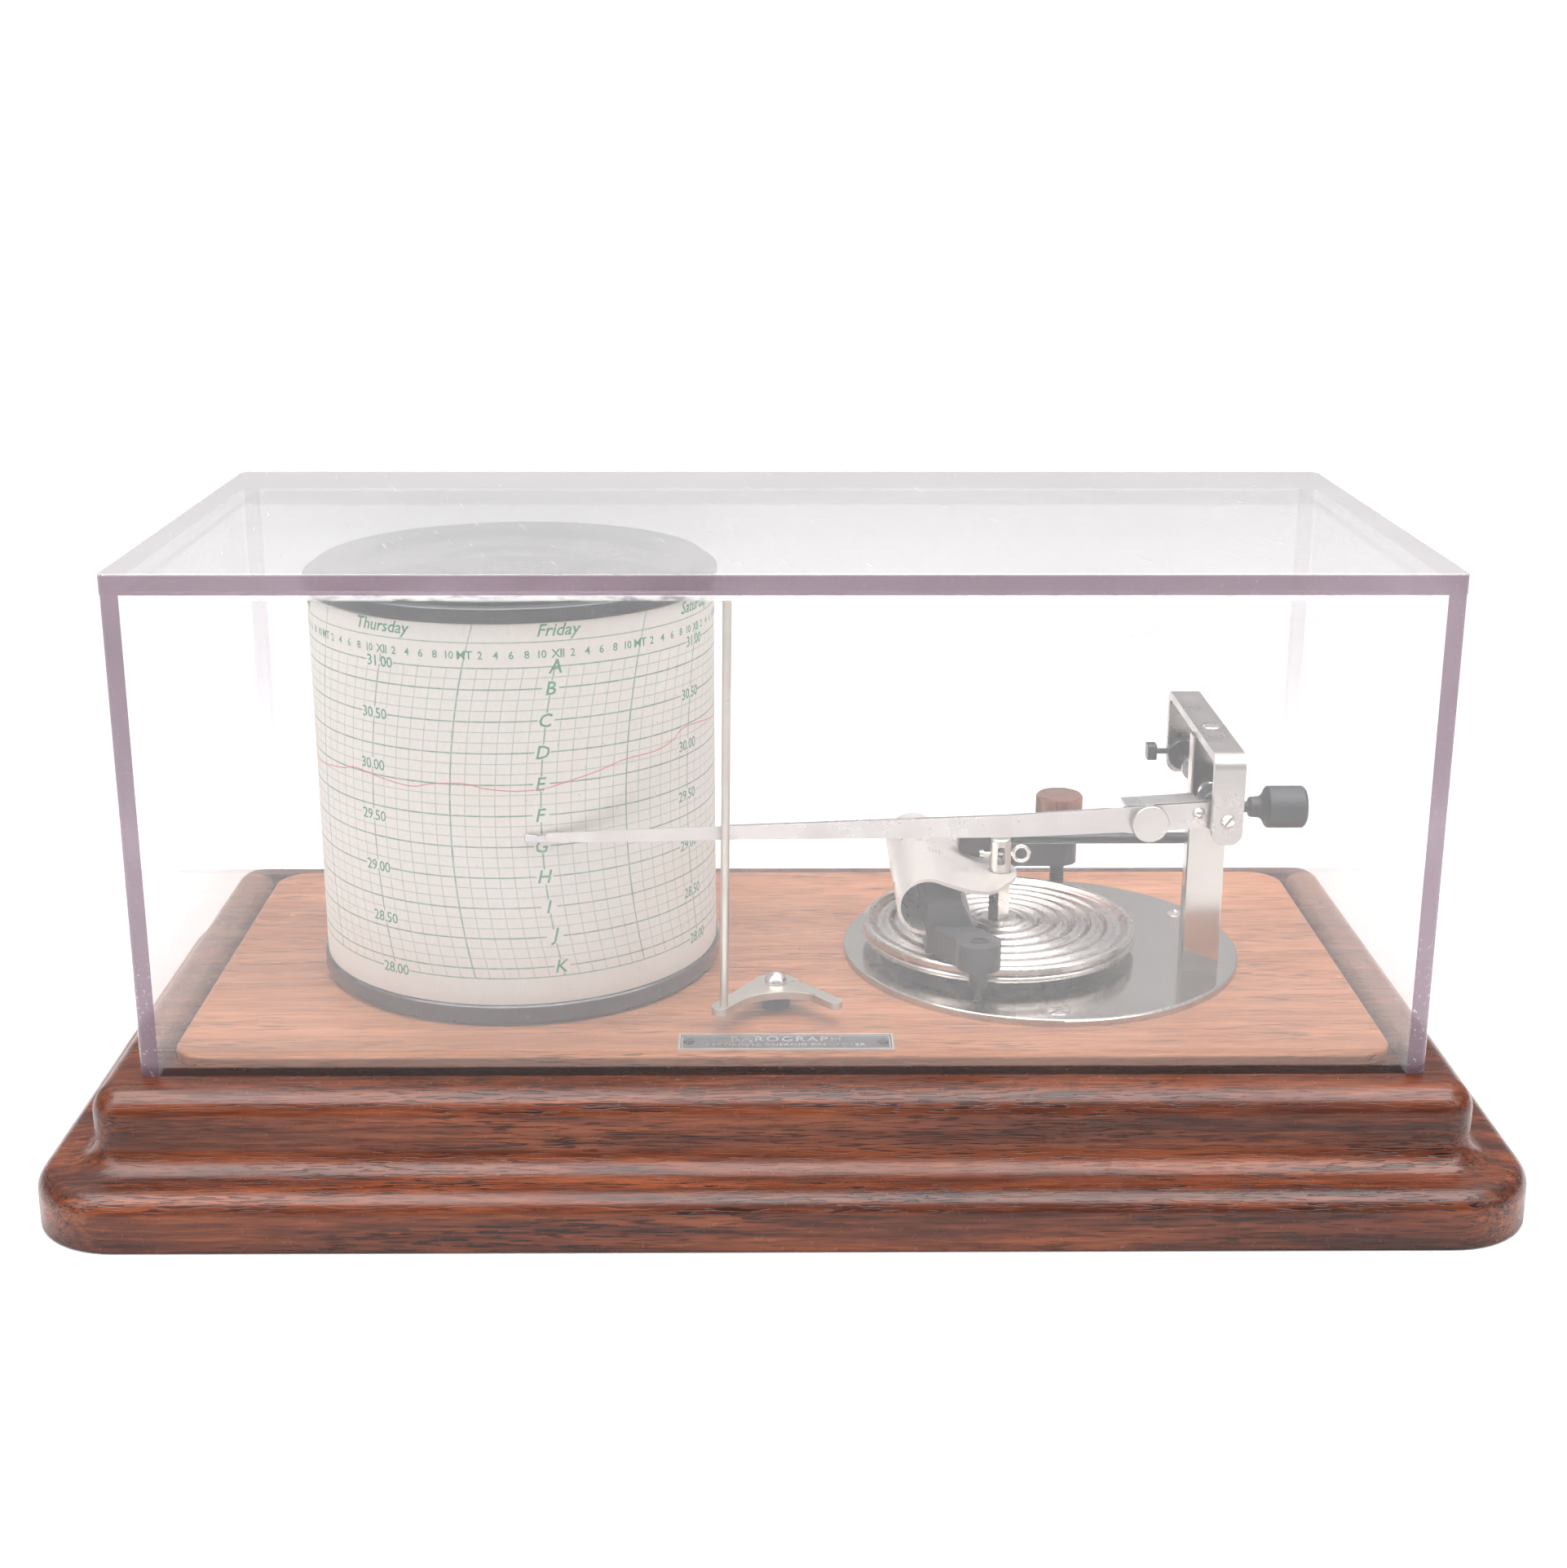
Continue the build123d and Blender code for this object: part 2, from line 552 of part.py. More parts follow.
with BuildPart() as balance_wheel:
    with BuildSketch(Plane.XY.offset(64.0)):
        with Locations(in_drum(BALANCE)):
            Circle(8.6)
            Circle(7.3, mode=Mode.SUBTRACT)
            Rectangle(16.0, 1.4)
            Circle(1.6)
    extrude(amount=1.2)
    for radius, bottom, top in staff(0.9):
        with BuildSketch(Plane.XY.offset(bottom)):
            with Locations(in_drum(BALANCE)):
                Circle(radius)
        extrude(amount=top - bottom)
save(balance_wheel.part, "balance_wheel")

# ---------------------------------------------------------------- aneroid plate
with BuildPart() as aneroid_base_plate:
    with BuildSketch(Plane.XY.offset(BOARD_TOP)):
        with Locations(PLATE):
            Circle(PLATE_R)
    extrude(amount=PLATE_T)
    fillet(aneroid_base_plate.faces().sort_by(Axis.Z)[-1].edges(), 0.55)
    with Locations((PLATE_X, PLATE_Y, PLATE_TOP)):
        with PolarLocations(PLATE_SCREW_R, 3, start_angle=PLATE_SCREW_ANGLE):
            CounterSinkHole(radius=1.65, counter_sink_radius=3.0, counter_sink_angle=90)
save(aneroid_base_plate.part, "aneroid_base_plate")

WOOD_SCREW_PROFILE = (                   # radius, z
    (0, 31.0), (1.35, 32.4), (1.45, 35.9), (2.8, PLATE_TOP - 0.1), (2.7, PLATE_TOP + 0.12),
    (0, PLATE_TOP + 0.35),
)
with BuildPart() as base_plate_screws:
    for k in range(3):
        screw_x, screw_y = polar(PLATE_SCREW_R, PLATE_SCREW_ANGLE + 120 * k, PLATE)
        with BuildSketch(upright(screw_x, screw_y)):
            with BuildLine():
                Polyline(*WOOD_SCREW_PROFILE, close=True)
            make_face()
        revolve(axis=vertical(screw_x, screw_y))
        # slot, turned differently in each head
        with BuildSketch(Plane(origin=(screw_x, screw_y, PLATE_TOP + 0.5),
                               x_dir=(math.cos(0.6 + k), math.sin(0.6 + k), 0),
                               z_dir=(0, 0, 1))):
            Rectangle(7, 0.6)
        extrude(amount=-1.1, mode=Mode.SUBTRACT)
save(base_plate_screws.part, "base_plate_screws")

# ---------------------------------------------------------------- capsule
SHEET = 0.5                              # drop from a corrugated face to the one below it
SEAM_Z = 41.9                            # where the two halves meet
POST_FOOT, LINK_FOOT, LINK_Z = 45.1, 57.0, 62.3      # LINK_Z: height of the link pin


def corrugation(r0, r1, z0, z1, waves, height):
    """Arcs (start, middle, end) in (radius, z) of a corrugated disc's section."""
    count = 2 * waves
    step = (r1 - r0) / count
    arcs = []
    for i in range(count):
        start_z, end_z = z0 + (z1 - z0) * i / count, z0 + (z1 - z0) * (i + 1) / count
        bulge = height if i % 2 == 0 else -height
        arcs.append(((r0 + i * step, start_z),
                     (r0 + (i + 0.5) * step, (start_z + end_z) / 2 + bulge),
                     (r0 + (i + 1) * step, end_z)))
    return arcs


def lowered(arc):
    return [(radius, z - SHEET) for radius, z in arc]


lower_arcs = corrugation(7.0, 32.0, 40.35, 40.75, 5, 0.45)
with BuildPart() as capsule_lower_shell:
    with BuildSketch(upright(*CAPSULE)):
        with BuildLine():
            Polyline((0, PLATE_TOP), (7.0, PLATE_TOP), (7.0, 39.75))
            for arc in lower_arcs:
                ThreePointArc(*lowered(arc))
            Polyline(lowered(lower_arcs[-1])[2], (33.2, 40.2), (35.1, 40.2))
            ThreePointArc((35.1, 40.2), (35.5, 40.95), (35.1, 41.7))
            Polyline((35.1, 41.7), (34.6, SEAM_Z), (33.0, SEAM_Z), lower_arcs[-1][2])
            for arc in lower_arcs:
                ThreePointArc(*arc)
            Polyline((7.0, 40.35), (0, 40.35), (0, PLATE_TOP))
            # short step between the boss and the first corrugation
            Line((7.0, 39.75), lowered(lower_arcs[0])[0])
        make_face()
    revolve(axis=vertical(*CAPSULE))
save(capsule_lower_shell.part, "capsule_lower_shell")

upper_arcs = corrugation(6.2, 32.2, 44.55, 43.35, 6, 0.42)
with BuildPart() as capsule_upper_diaphragm:
    with BuildSketch(upright(*CAPSULE)):
        with BuildLine():
            Polyline((0, 43.6), (0, POST_FOOT), (4.6, POST_FOOT), (6.2, 44.55))
            for arc in upper_arcs:
                ThreePointArc(*arc)
            ThreePointArc(upper_arcs[-1][2], (33.0, 43.75), (33.6, 44.15))
            ThreePointArc((33.6, 44.15), (34.9, 44.1), (35.35, 43.2))
            Polyline((35.35, 43.2), (35.35, 42.3), (34.8, SEAM_Z), (33.0, SEAM_Z), (32.2, 42.85))
            for arc in upper_arcs:
                ThreePointArc(*lowered(arc))
            Polyline((6.2, 44.05), (4.6, 43.6), (0, 43.6))
        make_face()
    revolve(axis=vertical(*CAPSULE))
save(capsule_upper_diaphragm.part, "capsule_upper_diaphragm")

# square post on the middle of the diaphragm
with BuildPart() as capsule_post:
    with BuildSketch(Plane.XY.offset(POST_FOOT)):
        with Locations(Location((CAPS_X, CAPS_Y, 0), (0, 0, 38))):
            Rectangle(4.0, 4.0)
    extrude(amount=LINK_FOOT - POST_FOOT)
    chamfer(capsule_post.edges().filter_by(Axis.Z), 0.25)
save(capsule_post.part, "capsule_post")

# link block: round stud with an open slot, standing up through the spring's end
with BuildPart() as link_block:
    with BuildSketch(Plane.XY.offset(LINK_FOOT)):
        with Locations(CAPSULE):
            Circle(2.75)
    extrude(amount=9.7)
    fillet(link_block.faces().sort_by(Axis.Z)[-1].edges(), 0.8)
    with BuildSketch(upright(CAPS_X, CAPS_Y + 4, LINK_Z)):
        RectangleRounded(1.9, 4.8, 0.6)
    extrude(amount=8, mode=Mode.SUBTRACT)
    # cross hole for the pin
    with BuildSketch(facing_right(CAPS_X - 4, CAPS_Y, LINK_Z)):
        Circle(0.6)
    extrude(amount=8, mode=Mode.SUBTRACT)
save(link_block.part, "link_block")

# pin: straight leg through the block, small head on the left, ring on the right
with BuildPart() as link_pin:
    for radius, start, length in ((0.5, -4.9, 8.6), (0.95, -5.4, 1.1)):
        with BuildSketch(facing_right(CAPS_X + start, CAPS_Y, LINK_Z)):
            Circle(radius)
        extrude(amount=length)
    with Locations(Location((CAPS_X + 5.4, CAPS_Y, LINK_Z), (90, 0, 0))):
        Torus(2.0, 0.5)
save(link_pin.part, "link_pin")

# ---------------------------------------------------------------- bridge and main spring
RIB_FRONT, RIB_BACK = -27.0, 31.0
FRONT_FOOT, BACK_FOOT = (47.75, -37.2), (77.2, 43.35)
SPRING_T = 0.9
BEND, BEND_R = (35.8, 57.5), 7.4         # spring's bend: centre (x, z), outer radius
LEAF_Z = BEND[1] - BEND_R                # underside of the lower leaf
LEAF_END = 41.0                          # x where the lower leaf ends
# feet: centre and radius of the boss, plan outline of the web to the rib
FEET = (
    (FRONT_FOOT, 5.45, ((36.4, -26.5), (42.4, -36.9), (53.1, -36.9), (47.6, -26.5))),
    (BACK_FOOT, 5.25, ((38.0, 30.5), (62.0, 48.1), (77.2, 48.6), (77.2, 38.1), (66.0, 38.3),
                       (47.6, 30.5))),
)
with BuildPart() as bridge_casting:
    # rib section; local y points down, so heights are entered negative
    with BuildSketch(facing_back(0, RIB_FRONT)):
        with BuildLine():
            Polyline((35.6, -45.9), (47.6, -45.9), (47.6, -52.6), (44.6, -59.0), (35.6, -59.0),
                     close=True)
        make_face()
    extrude(amount=RIB_BACK - RIB_FRONT)
    fillet(bridge_casting.edges().filter_by(Axis.Y).group_by(Axis.Z)[-1], 0.9)
    # slot that takes the spring's lower leaf
    with BuildSketch(Plane.XY.offset(LEAF_Z)):
        with BuildLine():
            Polyline((30, -26.0), (LEAF_END, -26.0), (LEAF_END, 30.2), (30, 30.2), close=True)
        make_face()
    extrude(amount=1.0, mode=Mode.SUBTRACT)
    for centre, boss_r, web in FEET:
        with BuildSketch(Plane.XY.offset(46.4)):
            with BuildLine():
                Polyline(*web, close=True)
            make_face()
            with Locations(centre):
                Circle(boss_r)
        extrude(amount=6.7)
    with BuildSketch(Plane.XY.offset(40)):
        with Locations(FRONT_FOOT):
            Circle(2.33)
        with Locations(BACK_FOOT):
            Circle(2.05)
    extrude(amount=20, mode=Mode.SUBTRACT)
save(bridge_casting.part, "bridge_casting")

FRONT_SCREW_TOP = 52.6
with BuildPart() as bridge_front_screw:
    with BuildSketch(upright(*FRONT_FOOT)):
        with BuildLine():
            Polyline((0, PLATE_TOP), (0.5, PLATE_TOP), (0.95, 37.9), (0.95, 41.0), (2.0, 41.0),
                     (2.28, 41.3), (2.28, FRONT_SCREW_TOP), (0, FRONT_SCREW_TOP), close=True)
        make_face()
    revolve(axis=vertical(*FRONT_FOOT))
    with BuildSketch(Plane.XY.offset(FRONT_SCREW_TOP)):
        with Locations(FRONT_FOOT):
            Rectangle(6, 0.7)
    extrude(amount=-0.9, mode=Mode.SUBTRACT)
save(bridge_front_screw.part, "bridge_front_screw")

# adjusting screw: pointed foot, nine thread ridges, plain shank into the knob
KNOB_Z, KNOB_BORE_DEPTH, KNOB_H = 58.4, 4.6, 6.9
ADJUSTER_R, THREAD_Z, THREAD_PITCH, RIDGES = 2.0, 38.8, 0.8, 9
adjuster_profile = [(0, PLATE_TOP), (0.6, PLATE_TOP), (1.5, 38.6)]       # radius, z
for ridge in range(RIDGES):
    z = THREAD_Z + THREAD_PITCH * ridge
    adjuster_profile += [(ADJUSTER_R, z), (ADJUSTER_R, z + 0.3), (1.7, z + 0.5)]
adjuster_profile += [(ADJUSTER_R, THREAD_Z + THREAD_PITCH * RIDGES),
                     (ADJUSTER_R, KNOB_Z + KNOB_BORE_DEPTH), (0, KNOB_Z + KNOB_BORE_DEPTH)]
save(turned_piece(BACK_FOOT, adjuster_profile), "pressure_adjusting_screw")

KNURL_OUT, KNURL_IN = 6.45, 6.12         # radii of the knurl's crests and grooves
knurl = []
for i in range(60):
    knurl += [polar(KNURL_OUT, 6 * i), polar(KNURL_IN, 6 * i + 3)]
with BuildPart() as knurled_adjusting_knob:
    with BuildSketch(Plane.XY.offset(KNOB_Z)):
        with Locations(BACK_FOOT):
            Polygon(*knurl, align=None)
    extrude(amount=KNOB_H)
    with BuildSketch(Plane.XY.offset(KNOB_Z + KNOB_H)):
        with Locations(BACK_FOOT):
            Circle(5.95)
    extrude(amount=0.5)
    with BuildSketch(Plane.XY.offset(KNOB_Z)):
        with Locations(BACK_FOOT):
            Circle(ADJUSTER_R)
    extrude(amount=KNOB_BORE_DEPTH, mode=Mode.SUBTRACT)
save(knurled_adjusting_knob.part, "knurled_adjusting_knob")

# C-shaped main spring: one wide leaf bent round an axis parallel to Y.
# Section: lower leaf, bend, sloping upper leaf, easing curve, level end.
BEND_IN = BEND_R - SPRING_T
BEND_MID, BEND_END = 168, 66             # degrees on the bend
EASE, EASE_TOP = (56.5, 71.16), 13.5     # easing: centre (x, z), radius of the upper face
EASE_UNDER = EASE_TOP + SPRING_T
TIP_X = 62.0
with BuildPart() as main_spring:
    with BuildSketch(upright(0, 40)):
        with BuildLine():
            # outer and upper face, from the lower leaf's end to the tip
            Line((LEAF_END, LEAF_Z), (BEND[0], LEAF_Z))
            ThreePointArc((BEND[0], LEAF_Z), polar(BEND_R, BEND_MID, BEND),
                          polar(BEND_R, BEND_END, BEND))
            Line(polar(BEND_R, BEND_END, BEND), polar(EASE_TOP, 246, EASE))
            ThreePointArc(*[polar(EASE_TOP, angle, EASE) for angle in (246, 258, 270)])
            Polyline(polar(EASE_TOP, 270, EASE), (TIP_X, EASE[1] - EASE_TOP),
                     (TIP_X, EASE[1] - EASE_UNDER), polar(EASE_UNDER, 270, EASE))
            # back along the inner face
            ThreePointArc(*[polar(EASE_UNDER, angle, EASE) for angle in (270, 258, 246)])
            Line(polar(EASE_UNDER, 246, EASE), polar(BEND_IN, BEND_END, BEND))
            ThreePointArc(polar(BEND_IN, BEND_END, BEND), polar(BEND_IN, BEND_MID, BEND),
                          (BEND[0], BEND[1] - BEND_IN))
            Polyline((BEND[0], BEND[1] - BEND_IN), (LEAF_END, BEND[1] - BEND_IN),
                     (LEAF_END, LEAF_Z))
        make_face()
    extrude(amount=80)
    # plan outline of the leaf
    with BuildSketch(Plane.XY.offset(39)):
        with BuildLine():
            Line((20, -25.0), (34.7, -25.0))
            ThreePointArc((34.7, -25.0), (41.0, -23.9), (46.8, -21.4))
            ThreePointArc((46.8, -21.4), (52.4, -16.0), (56.9, -8.9))
            ThreePointArc((56.9, -8.9), (61.0, 2.13), (56.9, 13.16))
            ThreePointArc((56.9, 13.16), (52.4, 20.3), (46.8, 25.7))
            ThreePointArc((46.8, 25.7), (41.0, 28.2), (34.7, 29.3))
            Polyline((34.7, 29.3), (20, 29.3), (20, -25.0))
        make_face()
    extrude(amount=41, mode=Mode.INTERSECT)
    # hole for the link block
    with BuildSketch(Plane.XY.offset(52)):
        with Locations(CAPSULE):
            Circle(3.05)
    extrude(amount=8, mode=Mode.SUBTRACT)
save(main_spring.part, "main_spring")

# ---------------------------------------------------------------- main lever and link
LEVER_Z, LEVER_Y, CRANK_X, CRANK_Y = 64.7, 7.6, 112.3, 3.7
CRANK_PIN_R = 0.5
with BuildPart() as main_lever:
    with BuildSketch(facing_right(49.0)):
        with Locations((LEVER_Y, LEVER_Z)):
            Circle(1.5)
    extrude(amount=65.2)
    # pad over the spring; heights are negative because local y points down
    with BuildSketch(facing_back(0, LEVER_Y - 2.2)):
        with BuildLine():
            Polyline((46.2, -61.9), (50.0, -60.4), (52.6, -60.0), (53.4, -61.6), (55.6, -63.4),
                     (55.6, -66.2), (46.2, -66.2), close=True)
        make_face()
    extrude(amount=7.0)
    # pin at the free end
    with BuildSketch(upright(CRANK_X, LEVER_Y, LEVER_Z)):
        Circle(CRANK_PIN_R)
    extrude(amount=4.4)
save(main_lever.part, "main_lever")

with BuildPart() as connecting_link:
    with BuildSketch(upright(CRANK_X, 4.9)):
        with Locations((0, LEVER_Z), (0, ARB_Z)):
            Circle(1.8)
        with Locations((0, (LEVER_Z + ARB_Z) / 2)):
            Rectangle(1.6, ARB_Z - LEVER_Z)
        with Locations((0, LEVER_Z)):
            Circle(0.95, mode=Mode.SUBTRACT)
        with Locations((0, ARB_Z)):
            Circle(0.56, mode=Mode.SUBTRACT)
    extrude(amount=0.9)
save(connecting_link.part, "connecting_link")

# ---------------------------------------------------------------- post, yoke, pivots
YOKE_FRONT, YOKE_BACK, YOKE_TOP = -41.5, 22.5, 101.3
YOKE_W, YOKE_T, YOKE_H = 7.4, 2.2, 26
YOKE_MID = (YOKE_FRONT + YOKE_BACK) / 2
YOKE_LENGTH = YOKE_BACK - YOKE_FRONT
HALF_W = YOKE_W / 2

with BuildPart() as pivot_post:
    with BuildSketch(Plane.XY.offset(PLATE_TOP)):
        with Locations(POST):
            Rectangle(9.4, 5.0)
    extrude(amount=YOKE_TOP - YOKE_T - PLATE_TOP)
    chamfer(pivot_post.edges().filter_by(Axis.Z), 0.3)
    # passage for the pen arbor
    with BuildSketch(facing_back(ARB_X, -25, ARB_Z)):
        Circle(2.6)
    extrude(amount=20, mode=Mode.SUBTRACT)
    # hole for the yoke's screw
    with BuildSketch(Plane.XY.offset(YOKE_TOP)):
        with Locations(POST):
            Circle(1.55)
    extrude(amount=-9, mode=Mode.SUBTRACT)
save(pivot_post.part, "pivot_post")

with BuildPart() as yoke:
    with BuildSketch(facing_right(ARB_X - HALF_W)):
        with Locations((YOKE_MID, YOKE_TOP - YOKE_H / 2)):
            RectangleRounded(YOKE_LENGTH, YOKE_H, 3.6)
        with Locations((YOKE_MID, YOKE_TOP - YOKE_H / 2 - YOKE_T)):
            RectangleRounded(YOKE_LENGTH - 2 * YOKE_T, YOKE_H, 1.6, mode=Mode.SUBTRACT)
        with Locations((YOKE_MID, 70)):
            Rectangle(80, 18, mode=Mode.SUBTRACT)
    extrude(amount=YOKE_W)
    # rounded leg ends; heights are negative because local y points down
    with BuildSketch(facing_back(ARB_X, -60)):
        with BuildLine():
            Polyline((-12, -85.0), (-HALF_W, -85.0), (-HALF_W, -82.3))
            ThreePointArc((-HALF_W, -82.3), (-2.2, -79.4), (0, -79.0))
            ThreePointArc((0, -79.0), (2.2, -79.4), (HALF_W, -82.3))
            Polyline((HALF_W, -82.3), (HALF_W, -85.0), (12, -85.0), (12, -70), (-12, -70),
                     (-12, -85.0))
        make_face()
    extrude(amount=120, mode=Mode.SUBTRACT)
    # holes for the pivot screws, through both legs
    with BuildSketch(facing_back(ARB_X, -60, ARB_Z)):
        Circle(1.63)
    extrude(amount=120, mode=Mode.SUBTRACT)
    with Locations((POST_X, POST_Y, YOKE_TOP)):
        CounterSinkHole(radius=1.6, counter_sink_radius=2.75, counter_sink_angle=90)
save(yoke.part, "yoke")

with BuildPart() as yoke_screw:
    with BuildSketch(upright(*POST)):
        with BuildLine():
            Polyline((0, 92.6), (1.5, 92.6), (1.5, 100.1), (2.62, YOKE_TOP - 0.08),
                     (2.5, YOKE_TOP + 0.12), (0, YOKE_TOP + 0.45), close=True)
        make_face()
    revolve(axis=vertical(*POST))
    with BuildSketch(Plane(origin=(POST_X, POST_Y, YOKE_TOP + 0.6),
                           x_dir=(math.cos(0.35), math.sin(0.35), 0), z_dir=(0, 0, 1))):
        Rectangle(7, 0.65)
    extrude(amount=-1.0, mode=Mode.SUBTRACT)
save(yoke_screw.part, "yoke_screw")

ARBOR_AXIS = Axis((ARB_X, 0, ARB_Z), (0, 1, 0))
# level plane through the arbor: local x is the radius, local y is the world's y
ARBOR_PLANE = Plane(origin=(ARB_X, 0, ARB_Z), x_dir=(1, 0, 0), z_dir=(0, 0, 1))

# the two pivot screws, coned towards the arbor, slotted outside
with BuildPart() as pivot_screws:
    for outer_y, inward in ((YOKE_FRONT - 0.7, 1), (YOKE_BACK + 0.7, -1)):
        with BuildSketch(ARBOR_PLANE):
            with BuildLine():
                Polyline((0, outer_y), (1.2, outer_y), (1.6, outer_y + inward * 0.3),
                         (1.6, outer_y + inward * 3.3), (0.5, outer_y + inward * 3.7),
                         (0, outer_y + inward * 3.7), close=True)
            make_face()
        revolve(axis=ARBOR_AXIS)
        with BuildSketch(Plane(origin=(ARB_X, outer_y, ARB_Z),
                               x_dir=(math.cos(0.9), 0, math.sin(0.9)), z_dir=(0, inward, 0))):
            Rectangle(5, 0.5)
        extrude(amount=0.6, mode=Mode.SUBTRACT)
save(pivot_screws.part, "pivot_screws")

# ---------------------------------------------------------------- pen arbor and its fittings
ARBOR_R = 1.4
CRANK_REACH = CRANK_X - ARB_X
with BuildPart() as pen_arbor:
    with BuildSketch(ARBOR_PLANE):
        with BuildLine():
            Polyline((0, -38.4), (0.7, -38.4), (ARBOR_R, -37.2), (ARBOR_R, 18.4), (0.7, 19.4),
                     (0, 19.4), close=True)
        make_face()
    revolve(axis=ARBOR_AXIS)
    # crank, with its pin towards the back
    with BuildSketch(upright(ARB_X, CRANK_Y, ARB_Z)):
        Circle(3.0)
        with Locations((CRANK_REACH, 0)):
            Circle(1.5)
        with Locations((CRANK_REACH / 2, 0)):
            Rectangle(CRANK_REACH, 2.6)
    extrude(amount=1.5)
    with BuildSketch(facing_back(CRANK_X, CRANK_Y, ARB_Z)):
        Circle(CRANK_PIN_R)
    extrude(amount=1.5)
save(pen_arbor.part, "pen_arbor")

HUB_FRONT, HUB_BACK = -33.0, -26.5
HUB_MID = (HUB_FRONT + HUB_BACK) / 2
with BuildPart() as arbor_hub:
    with BuildSketch(facing_back(ARB_X, HUB_FRONT, ARB_Z)):
        Circle(5.3)
    extrude(amount=HUB_BACK - HUB_FRONT)
    chamfer(arbor_hub.edges().filter_by(GeomType.CIRCLE), 0.4)
    with BuildSketch(facing_back(ARB_X, HUB_FRONT, ARB_Z)):
        Circle(ARBOR_R)
    extrude(amount=HUB_BACK - HUB_FRONT, mode=Mode.SUBTRACT)
    # socket for the knob's stem
    with BuildSketch(facing_right(ARB_X + 1.7, HUB_MID, ARB_Z)):
        Circle(1.45)
    extrude(amount=6, mode=Mode.SUBTRACT)
save(arbor_hub.part, "arbor_hub")

# pen set knob: stem in the hub, flared neck, plain barrel, lying along X
with BuildPart() as pen_set_knob:
    with BuildSketch(upright(ARB_X, HUB_MID, ARB_Z)):
        with BuildLine():
            Polyline((2.2, 0), (2.2, 1.1), (2.5, 1.38), (7.4, 1.38), (7.4, 2.3), (7.8, 2.5),
                     (9.4, 2.6))
            Spline((9.4, 2.6), (10.4, 3.1), (11.3, 4.6), tangents=((1, 0.05), (0.35, 1)))
            Polyline((11.3, 4.6), (11.8, 5.15), (20.3, 5.15), (21.0, 4.5), (21.0, 0), (2.2, 0))
        make_face()
    revolve(axis=Axis((ARB_X, HUB_MID, ARB_Z), (1, 0, 0)))
save(pen_set_knob.part, "pen_set_knob")

SET_SCREW_Y, SET_SCREW_Z = 17.3, ARB_Z + 0.6
with BuildPart() as back_collar:
    with BuildSketch(facing_back(ARB_X, 15.4, ARB_Z)):
        Circle(4.2)
        Circle(ARBOR_R, mode=Mode.SUBTRACT)
    extrude(amount=3.8)
    chamfer(back_collar.edges().filter_by(GeomType.CIRCLE).group_by(SortBy.RADIUS)[-1], 0.35)
    with BuildSketch(facing_left(ARB_X - 1.6, SET_SCREW_Y, SET_SCREW_Z)):
        Circle(0.8)
    extrude(amount=6, mode=Mode.SUBTRACT)
save(back_collar.part, "back_collar")

with BuildPart() as square_head_set_screw:
    with BuildSketch(facing_left(ARB_X - 1.8, SET_SCREW_Y, SET_SCREW_Z)):
        Circle(0.75)
    extrude(amount=5.6)
    with BuildSketch(facing_left(ARB_X - 7.3, SET_SCREW_Y, SET_SCREW_Z)):
        Rectangle(4.0, 4.0)
    extrude(amount=2.4)
    chamfer(square_head_set_screw.edges().filter_by(Axis.X), 0.3)
save(square_head_set_screw.part, "square_head_set_screw")

# ---------------------------------------------------------------- pen arm
# The arm's front face lies on an upright plane that runs further back to the right.
ARM_SLOPE = 0.06
ARM_ANGLE = math.atan(ARM_SLOPE)
ARM_ORIGIN = (ARB_X, -47.6 + ARM_SLOPE * (ARB_X + 59.5))
ARM_DIR = (-math.cos(ARM_ANGLE), -math.sin(ARM_ANGLE), 0)        # towards the pen


def arm_plane(back):
    """Plane `back` mm behind the arm's front face.

    Local x runs along the arm to the pen, local y is up, and the normal points backwards,
    so that a positive extrusion goes towards the drum.
    """
    normal_x, normal_y = -math.sin(ARM_ANGLE), math.cos(ARM_ANGLE)
    return Plane(origin=(ARM_ORIGIN[0] + normal_x * back, ARM_ORIGIN[1] + normal_y * back, 0),
                 x_dir=ARM_DIR, z_dir=(normal_x, normal_y, 0))


def on_arm(points):
    """World (x, z) points as local points of an arm plane."""
    return [((ARB_X - x) / math.cos(ARM_ANGLE), z) for x, z in points]


CLAMP_PLACE, GATE_PLACE = on_arm(((87.5, 84.1), (99.4, 86.0)))

ARM_OUTLINE = (                          # world x, z
    (102.9, 88.7), (81.7, 87.66), (54.2, 86.28), (-13.7, 85.03), (-38.7, 84.6),
    (-56.4, 84.15), (-57.6, 83.4), (-57.6, 82.5), (-56.4, 81.91), (-38.7, 81.63),
    (-13.7, 81.7), (54.2, 80.87), (81.7, 81.52), (102.9, 82.3),
)
FOLD_T = 0.43
# folded edges: outline of the arm's edge (world x, z), height from there to the fold's inside
FOLDS = (
    (((78, 87.48), (54.2, 86.28), (-13.7, 85.03)), -FOLD_T),
    (((78, 81.46), (54.2, 80.87), (-13.7, 81.7)), FOLD_T),
)
with BuildPart() as pen_arm:
    with BuildSketch(arm_plane(0)):
        with BuildLine():
            Polyline(*on_arm(ARM_OUTLINE), close=True)
        make_face()
    extrude(amount=0.55)
    # stiffening edges folded back behind the strip
    for edge, inward in FOLDS:
        inside = [(x, z + inward) for x, z in reversed(edge)]
        with BuildSketch(arm_plane(0)):
            with BuildLine():
                Polyline(*on_arm([*edge, *inside]), close=True)
            make_face()
        extrude(amount=1.3)
    # clamp screw and gate screw holes
    with BuildSketch(arm_plane(-1)):
        with Locations(CLAMP_PLACE):
            Circle(1.28)
        with Locations(GATE_PLACE):
            Circle(1.08)
    extrude(amount=4, mode=Mode.SUBTRACT)
save(pen_arm.part, "pen_arm")

